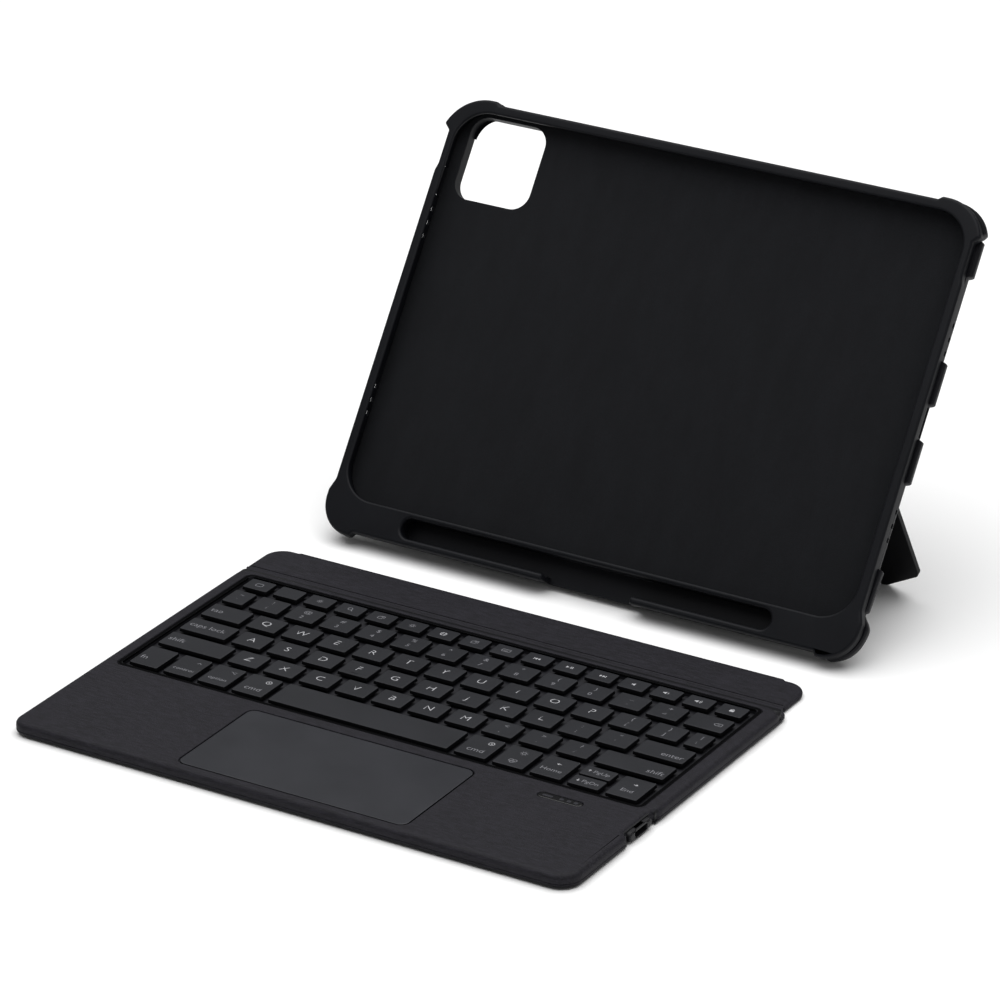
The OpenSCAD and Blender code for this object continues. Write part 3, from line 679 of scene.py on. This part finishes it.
# Trackpad
b = Build()
loop = rect(pad_box[0], pad_box[1], pad_box[3], pad_box[4], 3.6)
rings = [b.ring(inset(loop, d), z) for d, z in
         [(0.6, pad_box[2]), (0.0, pad_box[2] + 0.1)] + arc(pad_box[5] - 0.22, pad_box[5], 0.22, 3)]
# the pad's sides and underside take the near-black key side colour, which darkens its outline as painted shade
b.skin(rings, [1, 1, 0, 0, 0])
b.fill([rings[0]], 1)
b.fill([rings[-1]])
pad = b.finish("trackpad_plate", KEYS, ["pad", "key_side_dark_and_shade"], 60)
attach(pad, "trackpad_body")
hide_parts("trackpad")


# ---------- flat marks: legends and icons ----------

KEY_TOP, KEY_SIDE_DARK_AND_SHADE, INK, INK_DIM = range(4)  # material places on a cap


def poly(b, pts, z, mat):
    """One flat face."""
    vs = [b.bm.verts.new((p[0], p[1], z)) for p in pts]
    f = b.bm.faces.new(vs)
    f.material_index = mat


def stroke(b, pts, w, z, mat, closed=False):
    """A line of even width through points, with mitred joins."""
    pts = [Vector(p) for p in pts]
    n = len(pts)
    left, right = [], []
    for i, p in enumerate(pts):
        a = pts[i - 1] if (i or closed) else None
        c = pts[(i + 1) % n] if (i < n - 1 or closed) else None
        d1 = (p - a).normalized() if a is not None else (c - p).normalized()
        d2 = (c - p).normalized() if c is not None else d1
        d = (d1 + d2).normalized()
        k = w / 2 / max(0.4, d.dot(d1))
        off = Vector((-d.y, d.x)) * k
        left.append(p + off)
        right.append(p - off)
    for i in range(n if closed else n - 1):
        j = (i + 1) % n
        poly(b, (left[i], left[j], right[j], right[i]), z, mat)


def circle(x, y, r, a0=0.0, a1=360.0, steps=20):
    """Points along an arc, given in degrees, with both ends."""
    return [(x + r * math.cos(math.radians(a0 + (a1 - a0) * k / steps)),
             y + r * math.sin(math.radians(a0 + (a1 - a0) * k / steps))) for k in range(steps + 1)]


def ring_mark(b, x, y, r, w, z, mat, a0=0.0, a1=360.0):
    """A drawn circle or arc of line width w."""
    pts = circle(x, y, r, a0, a1)
    whole = abs(a1 - a0) >= 359
    stroke(b, pts[:-1] if whole else pts, w, z, mat, whole)


glyphs = {}


WIDE = 1.12  # the lettering is stretched this much
THINNER, THINNER_BIG = -0.005, -0.012  # and its strokes are cut back, small and large lettering


def text(b, words, x, y, size, z, mat, align="CENTER"):
    """Flat lettering with its middle line at y."""
    key = (words, align)
    if key not in glyphs:
        curve = bpy.data.curves.new("lettering", "FONT")
        curve.body = words
        curve.align_x = align
        curve.resolution_u = 3
        curve.offset = THINNER if size < BIG else THINNER_BIG
        o = bpy.data.objects.new("lettering", curve)
        bpy.context.scene.collection.objects.link(o)
        bpy.context.view_layer.update()
        mesh = bpy.data.meshes.new_from_object(o)
        bpy.data.objects.remove(o)
        bpy.data.curves.remove(curve)
        glyphs[key] = mesh
    mesh = glyphs[key]
    start = len(b.bm.faces)
    b.bm.from_mesh(mesh)
    b.bm.verts.ensure_lookup_table()
    b.bm.faces.ensure_lookup_table()
    fresh = b.bm.verts[len(b.bm.verts) - len(mesh.vertices):]
    for v in fresh:
        v.co = Vector((x + v.co.x * size * WIDE, y + (v.co.y - 0.35) * size, z))
    for f in b.bm.faces[start:]:
        f.material_index = mat
        f.smooth = False


def icon(b, kind, x, y, z, mat=INK):
    """Simple generic signs, about three millimetres high."""
    w = 0.26
    if kind == "home":
        stroke(b, rect(x - 1.6, y - 1.2, x + 1.6, y + 1.2, 0.7), w, z, mat, True)
    elif kind == "search":
        ring_mark(b, x - 0.4, y + 0.35, 1.0, w, z, mat)
        stroke(b, [(x + 0.35, y - 0.4), (x + 1.3, y - 1.3)], w * 1.3, z, mat)
    elif kind in ("dim", "bright", "light"):
        r = {"dim": 0.5, "bright": 0.7, "light": 0.8}[kind]
        ring_mark(b, x, y, r, w, z, mat)
        for k in range(8):
            a = math.radians(45 * k)
            c, s = math.cos(a), math.sin(a)
            ray = [(x + c * (r + out), y + s * (r + out)) for out in (0.35, 0.85)]
            stroke(b, ray, w * 0.9, z, mat)
    elif kind == "copy":
        stroke(b, rect(x - 1.5, y - 1.1, x + 0.5, y + 0.7, 0.3), w, z, mat, True)
        stroke(b, [(x - 0.7, y + 1.2), (x + 1.3, y + 1.2), (x + 1.3, y - 0.6)], w, z, mat)
    elif kind == "globe":
        ring_mark(b, x, y, 1.35, w, z, mat)
        stroke(b, [(x - 1.35, y), (x + 1.35, y)], w * 0.8, z, mat)
        stroke(b, [(x + 0.6 * math.cos(math.radians(a)), y + 1.35 * math.sin(math.radians(a)))
                   for a in range(0, 360, 20)], w * 0.8, z, mat, True)
    elif kind == "keys":
        stroke(b, rect(x - 1.9, y - 1.0, x + 1.9, y + 1.0, 0.4), w, z, mat, True)
        for i in range(-2, 3):
            poly(b, circle(x + i * 0.62, y + 0.25, 0.16, 0, 360, 6)[:-1], z, mat)
        stroke(b, [(x - 1.0, y - 0.45), (x + 1.0, y - 0.45)], w, z, mat)
    elif kind in ("prev", "next"):
        s = -1 if kind == "prev" else 1
        for k in (-1.0, 0.35):
            tri = [(x + s * k, y - 0.8), (x + s * (k + 1.2), y), (x + s * k, y + 0.8)]
            poly(b, tri if s > 0 else tri[::-1], z, mat)
        stroke(b, [(x + s * 1.75, y - 0.8), (x + s * 1.75, y + 0.8)], w * 1.2, z, mat)
    elif kind == "play":
        poly(b, [(x - 1.6, y - 0.8), (x - 0.3, y), (x - 1.6, y + 0.8)], z, mat)
        for k in (0.5, 1.25):
            stroke(b, [(x + k, y - 0.8), (x + k, y + 0.8)], w * 1.4, z, mat)
    elif kind.startswith("sound"):
        waves = int(kind[-1])
        x -= 0.5 * waves
        poly(b, [(x - 1.1, y - 0.35), (x - 0.5, y - 0.35), (x + 0.4, y - 1.0), (x + 0.4, y + 1.0),
                 (x - 0.5, y + 0.35), (x - 1.1, y + 0.35)], z, mat)
        for k in range(waves):
            ring_mark(b, x + 0.3, y, 1.0 + 0.65 * k, w * 0.9, z, mat, -40, 40)
    elif kind == "lock":
        poly(b, [(x - 1.0, y - 1.2), (x + 1.0, y - 1.2), (x + 1.0, y + 0.2), (x - 1.0, y + 0.2)], z, mat)
        ring_mark(b, x, y + 0.3, 0.65, w, z, mat, 0, 180)
    elif kind == "erase":
        flag = [(x - 1.9, y), (x - 0.9, y + 1.0), (x + 1.6, y + 1.0), (x + 1.6, y - 1.0), (x - 0.9, y - 1.0)]
        stroke(b, flag, w, z, mat, True)
        stroke(b, [(x - 0.3, y + 0.4), (x + 0.6, y - 0.4)], w, z, mat)
        stroke(b, [(x - 0.3, y - 0.4), (x + 0.6, y + 0.4)], w, z, mat)
    elif kind == "palette":
        for dx, dy in ((-0.8, 0.4), (0.8, 0.4), (0.0, -0.7)):
            ring_mark(b, x + dx, y + dy * 0.8, 0.95, w, z, mat)
    elif kind in ("left", "right", "up", "down"):
        dx, dy = {"left": (-1, 0), "right": (1, 0), "up": (0, 1), "down": (0, -1)}[kind]
        stroke(b, [(x - dx * 0.9, y - dy * 0.7), (x + dx * 0.4, y + dy * 0.3)], w, z, mat)
        nx, ny = -dy, dx
        poly(b, [(x + dx * 1.2, y + dy * 1.0), (x + dx * 0.2 + nx * 0.7, y + dy * 0.1 + ny * 0.7),
                 (x + dx * 0.2 - nx * 0.7, y + dy * 0.1 - ny * 0.7)], z, mat)
    elif kind == "dot":
        ring_mark(b, x, y, 1.2, w, z, mat)
        poly(b, circle(x, y, 0.4, 0, 360, 10)[:-1], z, mat)
    elif kind == "caret":
        stroke(b, [(x - 0.9, y - 0.4), (x, y + 0.5), (x + 0.9, y - 0.4)], w, z, mat)
    elif kind == "switch":
        bent = [(x - 1.3, y + 0.6), (x - 0.5, y + 0.6), (x + 0.5, y - 0.6), (x + 1.3, y - 0.6)]
        stroke(b, bent, w, z, mat)
        stroke(b, [(x + 0.3, y + 0.6), (x + 1.3, y + 0.6)], w, z, mat)


# ---------- keys ----------

BIG, SMALL = 5.1, 4.1  # lettering sizes
DIM_ICONS = ("home", "dim", "search", "copy", "bright", "keys")
INK_LIFT = 0.012  # the ink lies this far above the caps


def word(s, place="left"):
    """A word legend; place is left, rear or right."""
    return ("word", s, place)


def pair(low, up):
    """Two signs, one above the other."""
    return ("pair", low, up)


LEGENDS = {
    "function_keys": [("icon", k) for k in (
        "home", "none", "dim", "search", "copy", "bright", "globe", "copy", "keys", "prev", "play", "next",
        "sound0", "sound1", "sound2", "lock")],
    "number_keys": [pair(low, up) for low, up in zip("`1234567890-=", "~!@#$%^&*()_+")],
    "upper_letter_keys": list("QWERTYUIOP") + [pair("[", "{"), pair("]", "}"), pair("\\", "|")],
    "home_letter_keys": list("ASDFGHJKL") + [pair(";", ":"), pair("'", '"')],
    "lower_letter_keys": list("ZXCVBNM") + [pair(",", "<"), pair(".", ">"), pair("/", "?")],
    "modifier_keys": [word("fn"), ("both", "control", "caret"), ("both", "option", "switch"),
                      ("both", "cmd", "dot"), ("both", "cmd", "dot"), ("light",)],
    "key_space": [None],
    "key_tab": [word("tab", "rear")],
    "key_caps_lock": [word("caps lock", "rear")],
    "key_shift_left": [word("shift", "rear")],
    "key_shift_right": [word("shift", "right")],
    "key_enter": [word("enter", "right")],
    "key_backspace": [("icon_right", "erase")],
    "key_arrow_left": [("arrow", "left", "Home")],
    "key_arrow_right": [("arrow", "right", "End")],
    "key_arrow_up": [("half", "up", "PgUp")],
    "key_arrow_down": [("half", "down", "PgDn")],
}


def mark(b, what, x0, y0, x1, y1, z):
    """Draws a legend on the cap that fills x0, y0 to x1, y1."""
    x, y = (x0 + x1) / 2, (y0 + y1) / 2
    if what is None:
        return
    if isinstance(what, str):
        text(b, what, x - 0.3, y + 0.3, BIG, z, INK)
        if what in "FJ":
            stroke(b, [(x - 1.7, y0 + 2.1), (x + 1.7, y0 + 2.1)], 0.5, z + 0.12, KEY_TOP)
        return
    kind = what[0]
    if kind == "icon" and what[1] != "none":
        icon(b, what[1], x, y, z, INK_DIM if what[1] in DIM_ICONS else INK)
    elif kind == "icon_right":
        icon(b, what[1], x1 - 4.6, y, z, INK_DIM)
    elif kind == "pair":
        text(b, what[1], x - 0.2, y - 2.2, SMALL * 0.82, z, INK_DIM)
        text(b, what[2], x + 0.2, y + 2.5, SMALL * 0.82, z, INK_DIM)
    elif kind == "word":
        if what[2] == "right":
            text(b, what[1], x1 - 1.7, y0 + 4.2, SMALL, z, INK_DIM, "RIGHT")
        elif what[2] == "rear":
            text(b, what[1], x0 + 1.9, y + 0.3, SMALL, z, INK_DIM, "LEFT")
        else:
            text(b, what[1], x0 + 1.7, y0 + 7.0, SMALL, z, INK_DIM, "LEFT")
    elif kind == "both":
        size = SMALL if len(what[1]) < 5 else SMALL * 0.72
        text(b, what[1], x, y0 + 5.4, size, z, INK_DIM)
        icon(b, what[2], x + 3.0, y1 - 4.4, z, INK if what[2] == "dot" else INK_DIM)
    elif kind == "light":
        icon(b, "light", x + 0.8, y1 - 4.8, z, INK_DIM)
        icon(b, "palette", x, y0 + 4.6, z, INK_DIM)
    elif kind == "arrow":
        text(b, what[2], x - 0.3, y0 + 6.0, SMALL * 0.84, z, INK_DIM)
        icon(b, what[1], x + 0.4, y1 - 5.6, z)
    elif kind == "half":
        icon(b, what[1], x - 4.0, y, z)
        text(b, what[2], x + 1.5, y, SMALL * 0.76, z, INK_DIM)


def cap_mesh(b, x0, y0, z0, x1, y1, z1):
    """A keycap, hollow below, with sides that lean in and a soft upper edge."""
    loop = rect(x0, y0, x1, y1, 1.0, 18)
    profile = [
        (0.7, z1 - 0.55), (0.7, z0), (0.12, z0), (0.0, z0 + 0.12), (0.22, z1 - 0.3), (0.28, z1 - 0.14),
        (0.40, z1 - 0.03), (0.58, z1),
    ]
    rings = [b.ring(inset(loop, d), z) for d, z in profile]
    # the sides take the near-black side colour, partly painted shade
    b.skin(rings, [KEY_SIDE_DARK_AND_SHADE] * 5 + [KEY_TOP] * 2)
    b.fill([rings[0]], KEY_SIDE_DARK_AND_SHADE)
    b.fill([rings[-1]], KEY_TOP)


body_of = {n: body for body, ns in frame["record"]["behaviour"]["bodies"].items() for n in ns}
for node, marks in LEGENDS.items():
    b = Build()
    for (x0, y0, z0, x1, y1, z1), what in zip(islands(node, KEYS), marks):
        cap_mesh(b, x0, y0, z0, x1, y1, z1)
        mark(b, what, x0, y0, x1, y1, z1 + INK_LIFT)
    o = b.finish(node + "_caps", KEYS, ["key_top", "key_side_dark_and_shade", "ink", "ink_dim"], 50)
    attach(o, body_of[node])
    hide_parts(node)

# Indicator lens with four small windows
b = Build()
zt = TOP - 0.1
loop = capsule(*led_mid, LED_LENGTH - 0.4, LED_WIDE - 0.4)
profile = [(0.0, lens_box[2]), (0.0, zt - 0.3)] + arc(zt - 0.3, zt, 0.4, 4)
rings = [b.ring(inset(loop, d), z) for d, z in profile]
b.skin(rings)
b.fill([rings[-1]])
b.fill([rings[0]])
for dx, length, wide in ((-5.6, 4.6, 1.3), (0.6, 1.9, 1.7), (3.9, 1.9, 1.7), (7.0, 1.9, 1.7)):
    poly(b, capsule(led_mid[0] + dx, led_mid[1], length, wide), zt + 0.015, 1)
lens = b.finish("indicator_strip", KEYS, ["lens", "window"], 60)
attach(lens, "deck")
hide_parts("indicator_lens")

# ---------- shell ----------

W, H = 126.0, 193.2  # half the width and the height of the front frame
LIFT, DROP = 1.4, -1.9  # how far its corners stand above and below it
GAP0, GAP1, TROUGH = -17.7, 24.3, 88.6  # ends of the gap in the trough's front lip, and half its length
FRAME_Z = -4.46  # rear face of the frame


def mirrored(points):
    """The right half of an outline, followed by the left half."""
    return points + [(-x, y, r) for x, y, r in reversed(points)]


def swing(cx, cy, r, a0, a1):
    """Points along an arc, given in degrees, as plain corners of a path."""
    n = max(2, round(abs(a1 - a0) / 4))
    turns = [math.radians(a0 + (a1 - a0) * k / n) for k in range(n + 1)]
    return [(cx + r * math.cos(t), cy + r * math.sin(t), 0) for t in turns]


right_side = [(110.4, 0.0, 1.0), (111.6, DROP + 0.15, 0.8)]
right_side += swing(112.9, DROP + 15.0, 15.0, -90, 0)
right_side += [
    (127.9, 15.8, 4), (W, 20.8, 5), (W, 160.0, 6), (W - 0.8, 163.2, 6), (W - 0.8, 178.2, 1.2),
    (127.6, 180.5, 0.5),
]
right_side += swing(109.0, 174.6, 20.0, 19, 90)
right_side += [(106.4, H + LIFT, 1.2), (104.6, H, 1.2)]
trough = [
    (GAP0, 0.0, 1.2), (GAP0, 3.2, 1.2), (-TROUGH, 3.2, 4.35), (-TROUGH, 12.0, 4.35),
    (TROUGH, 12.0, 4.35), (TROUGH, 3.2, 4.35), (GAP1, 3.2, 1.2), (GAP1, 0.0, 1.2),
]
frame_line = path(mirrored(right_side) + trough, 5)
opening = rect(-121.8, 14.4, 121.8, 188.9, 15, 4)
open_in = normals(opening)
BAY_SIDE, BAY_LOW, BAY_HIGH = 2.4, 1.8, 3.0  # how far the bay's walls lie outside the opening


def bay_loop(g):
    """From the opening's edge to the wall of the bay behind it, by the share g."""
    return [
        (p.x - n.x * BAY_SIDE * g, p.y - n.y * (BAY_LOW if n.y > 0 else BAY_HIGH) * g)
        for p, n in zip(opening, open_in)
    ]


b = Build()
frame_profile = [(0.45, FRAME_Z), (0.12, -4.3), (0.0, -3.9), (0.0, -1.3)] + arc(-1.3, 0.0, 1.25, 6)[1:]
outer = [b.ring(inset(frame_line, d), z) for d, z in frame_profile]
b.skin(outer)
lip_profile = [(0.95, 0.0), (0.55, -0.05), (0.22, -0.2), (0.05, -0.45), (0.0, -0.75)]
inner = [b.ring(inset(opening, -d), z) for d, z in lip_profile]
for g, z in ((0.0, -1.15), (0.12, -1.22), (1.0, -1.22), (1.0, FRAME_Z)):
    inner.append(b.ring(bay_loop(g), z))
b.skin(inner)
b.fill([outer[-1], inner[0]])
b.fill([outer[0], inner[-1]])
front = b.finish("front_frame_shell", SHELL, ["frame"], 45)
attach(front, "shell")
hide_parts("front_frame")

# The rear body: depths count forward from its back plane
BODY_W, BODY_V0, BODY_V1 = 125.4, 0.6, 193.1  # half its width, its lower and its upper edge
BODY_R = 18  # corners of its outline
BACK_Z = -13.0  # its back plane
BACK_R_SIDE, BACK_R_LONG = 7.0, 3.0  # rounding of its rear edges


def round_in(d, r):
    """How far an edge of radius r has rounded in at depth d."""
    return r - math.sqrt(max(0.0, r * r - (r - d) ** 2)) if d < r else 0.0


STAND_ROOM = 3.0  # depth that the folded stand takes up at the shell's foot
PAD_FROM = 1.1  # depth at which the side pads start
DEPTHS = [8.42, 8.2, 7.6, 6.6, 5.6, 4.6, 3.7, 2.9, 2.2, 1.6, 1.1, 0.7, 0.4, 0.18, 0.04]


def rear_point(p, n, d, out):
    """A point of the grown rear body: outline point p with outward normal n, at depth d."""
    back = round_in(d, BACK_R_SIDE) * n.x * n.x + round_in(d, BACK_R_LONG) * n.y * n.y
    lip = 0.55 * smooth((d - 7.7) / 0.7)
    return (p.x + n.x * (out - back - lip), p.y + n.y * (out - back - lip), d + BACK_Z)


def corner_strip(sx, top):
    """Base outline points, outward normals and growth along one corner, from the long edge to the side."""
    cx, sy = BODY_W - BODY_R, 1 if top else -1
    edge = BODY_V1 if top else BODY_V0
    cy = edge - sy * BODY_R
    rows = [(Vector((x, edge)), Vector((0, sy))) for x in (cx - 8, cx - 6, cx - 4, cx - 3, cx - 2, cx - 1)]
    for k in range(61):
        n = Vector((math.sin(math.pi * k / 120), sy * math.cos(math.pi * k / 120)))
        rows.append((Vector((cx, cy)) + n * BODY_R, n))
    rows += [(Vector((BODY_W, cy - sy * k * 0.3)), Vector((1, 0))) for k in range(1, 12)]
    x0, v_end = (104.0, 181.0) if top else (112.2, 20.8)
    rows = [r for r in rows if r[0].x > x0 and (r[0].y - v_end) * sy > 0]
    run = [0.0]
    for a, c in zip(rows, rows[1:]):
        run.append(run[-1] + (c[0] - a[0]).length)
    grown = []
    for (p, n), s in zip(rows, run):
        reach = 4.0 * n.x * n.x + (1.6 if top else 2.5) * n.y * n.y
        reach += (1.1 if top else 2.1) * (2 * n.x * n.y) ** 2
        grown.append(reach * min(smooth(s / 1.8), smooth((run[-1] - s) / (1.3 if top else 6.0))))
    return [(Vector((p.x * sx, p.y)), Vector((n.x * sx, n.y)), g) for (p, n), g in zip(rows, grown)]


def rear_patch(b, strip, depths):
    """A soft pad that stands out of the rear body: tucked in at its front, ends and back."""
    lines = []
    first, last = depths[0], depths[-1]
    for d in [first] + list(depths) + [last]:
        line = []
        tuck = (d == first and not lines) or len(lines) == len(depths) + 1
        for p, n, g in strip:
            if tuck:
                q = rear_point(p, n, d, -0.6 if d > 4 else -1.4)
                line.append((q[0], q[1], q[2] + (0.0 if d > 4 else 0.35)))
            else:
                line.append(rear_point(p, n, d, g - 0.25 * (1 - smooth(g / 0.4))))
        lines.append(line)
    b.grid(lines)


b = Build()
for sx in (-1, 1):
    for top in (False, True):
        rear_patch(b, corner_strip(sx, top), [d for d in DEPTHS if top or d >= STAND_ROOM])
bumpers = b.finish("corner_bumper_pads", SHELL, ["tpu"], 60)
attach(bumpers, "shell")
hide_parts("corner_bumpers")

b = Build()
grips = sorted({(round(g[1], 1), round(g[4], 1)) for g in islands("side_grips", SHELL)})
for sx in (-1, 1):
    for v0, v1 in grips:
        low = v0 < 30  # the lowest pad starts a little lower and tapers
        v0 -= 1.4 if low else 0.0
        strip = []
        steps = [0, 0.25, 0.5, 0.8, 1.2, 1.8]
        vs = [v0 + s for s in steps] + [v0 + (v1 - v0) * k / 8 for k in range(2, 7)]
        vs += [v1 - s for s in reversed(steps)]
        for v in vs:
            t = min(v - v0, v1 - v) / 1.2
            full = 1.2 + 1.0 * (v - v0) / (v1 - v0) if low else 2.2
            strip.append((Vector((sx * BODY_W, v)), Vector((sx, 0)), full * smooth(t)))
        rear_patch(b, strip, [d for d in DEPTHS if d >= PAD_FROM])
grip_pads = b.finish("side_grip_pads", SHELL, ["tpu"], 60)
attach(grip_pads, "shell")
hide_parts("side_grips")

refine("back_shell", "shell", 0.3)
refine("back_lining", "nap", 0.15)
refine("shell_magnets", "nickel", 0.1)
refine("hinge_brackets", "steel", 0.12)
refine("hinge_pins", "steel", 0.1)
refine("hinge_screws", "steel", 0.1)
refine("hinge_covers", "shell", 0.3)
refine("kickstand_plate", "kick", 0.3)
refine("kickstand_foot_pad", "rubber", 0.25)


def button_pad(name, node, at_side):
    """Soft cover of one of the tablet's buttons: a round-ended pad."""
    x0, y0, z0, x1, y1, z1 = local_box(node, SHELL)
    b = Build()
    if at_side:
        long0, long1, out, foot = y0, y1, x0, x1
    else:
        long0, long1, out, foot = x0, x1, y1, y0
    s = -1 if at_side else 1
    loop = rect(long0, z0, long1, z1, 1.05, 12)
    top = abs(out)
    rings = [b.ring(inset(loop, d), h) for d, h in
             [(0.0, abs(foot)), (0.0, top - 0.5)] + arc(top - 0.5, top, 0.55, 5)[1:]]
    b.skin(rings)
    b.fill([rings[0]])
    b.fill([rings[-1]])
    for v in b.bm.verts:
        u, d, h = v.co
        v.co = Vector((s * h, u, d)) if at_side else Vector((u, h, d))
    o = b.finish(name, SHELL, ["tpu"], 60)
    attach(o, body_of[node])
    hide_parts(node)


button_pad("power_cover_pad", "power_button", True)
button_pad("volume_up_pad", "volume_up_button", False)
button_pad("volume_down_pad", "volume_down_button", False)

# ---------- stage ----------

floor_mesh = bpy.data.meshes.new("floor")
bm = bmesh.new()
bmesh.ops.create_grid(bm, x_segments=1, y_segments=1, size=6.0)
bm.to_mesh(floor_mesh)
bm.free()
fm = Mat("floor_paper", 0.9, 0.1)
fm.set("Base Color", fm.mix(fm.noise(400, 2), (0.90, 0.90, 0.90, 1), (0.93, 0.93, 0.93, 1)))
floor_mesh.materials.append(fm.m)
floor = bpy.data.objects.new("floor", floor_mesh)
bpy.context.scene.collection.objects.link(floor)

world = bpy.data.worlds.new("studio")
bpy.context.scene.world = world
world.use_nodes = True
background = world.node_tree.nodes["Background"]
background.inputs["Color"].default_value = (1.0, 1.0, 1.0, 1)
background.inputs["Strength"].default_value = 0.2


def softbox(name, at, aim, size, power):
    """A rectangular light of the given watts."""
    light = bpy.data.lights.new(name, "AREA")
    light.shape = "RECTANGLE"
    light.size, light.size_y = size
    light.energy = power
    o = bpy.data.objects.new(name, light)
    o.location = at
    o.rotation_euler = (Vector(aim) - Vector(at)).to_track_quat("-Z", "Y").to_euler()
    bpy.context.scene.collection.objects.link(o)


softbox("overhead_light", (-0.1, 0.15, 1.5), (0, 0.05, 0), (2.6, 2.4), 46)
softbox("side_light", (1.5, -0.7, 0.9), (0, 0, 0.05), (0.9, 0.9), 2.5)

scene = bpy.context.scene
scene.view_settings.view_transform = "Standard"

# Camera: the photograph's viewing angle. The eye's place is counted from the shell's foot
AZ, EL, ROLL = math.radians(31.208), math.radians(24.533), math.radians(-0.0466)
back = Vector((math.sin(AZ) * math.cos(EL), -math.cos(AZ) * math.cos(EL), math.sin(EL)))
across = Vector((math.cos(AZ), math.sin(AZ), 0))
up = back.cross(across)
EYE_BACK, EYE_RIGHT, EYE_UP = 2373.8, -32.64, 44.73
SENSOR, LENS = 36, 206.352
r = across * math.cos(ROLL) + up * math.sin(ROLL)
u = up * math.cos(ROLL) - across * math.sin(ROLL)
foot = SHELL @ Vector((0, 0, 0))
ground = Vector((foot.x + 1.1 * MM, foot.y, 0))
eye = ground + (back * EYE_BACK + r * EYE_RIGHT + u * EYE_UP) * MM
cam_data = bpy.data.cameras.new("camera")
cam_data.lens = LENS
cam_data.sensor_width = SENSOR
cam_data.clip_start, cam_data.clip_end = 0.1, 50
cam = bpy.data.objects.new("camera", cam_data)
cam.matrix_world = Matrix((
    (r.x, u.x, back.x, eye.x), (r.y, u.y, back.y, eye.y), (r.z, u.z, back.z, eye.z), (0, 0, 0, 1)))
scene.collection.objects.link(cam)
scene.camera = cam
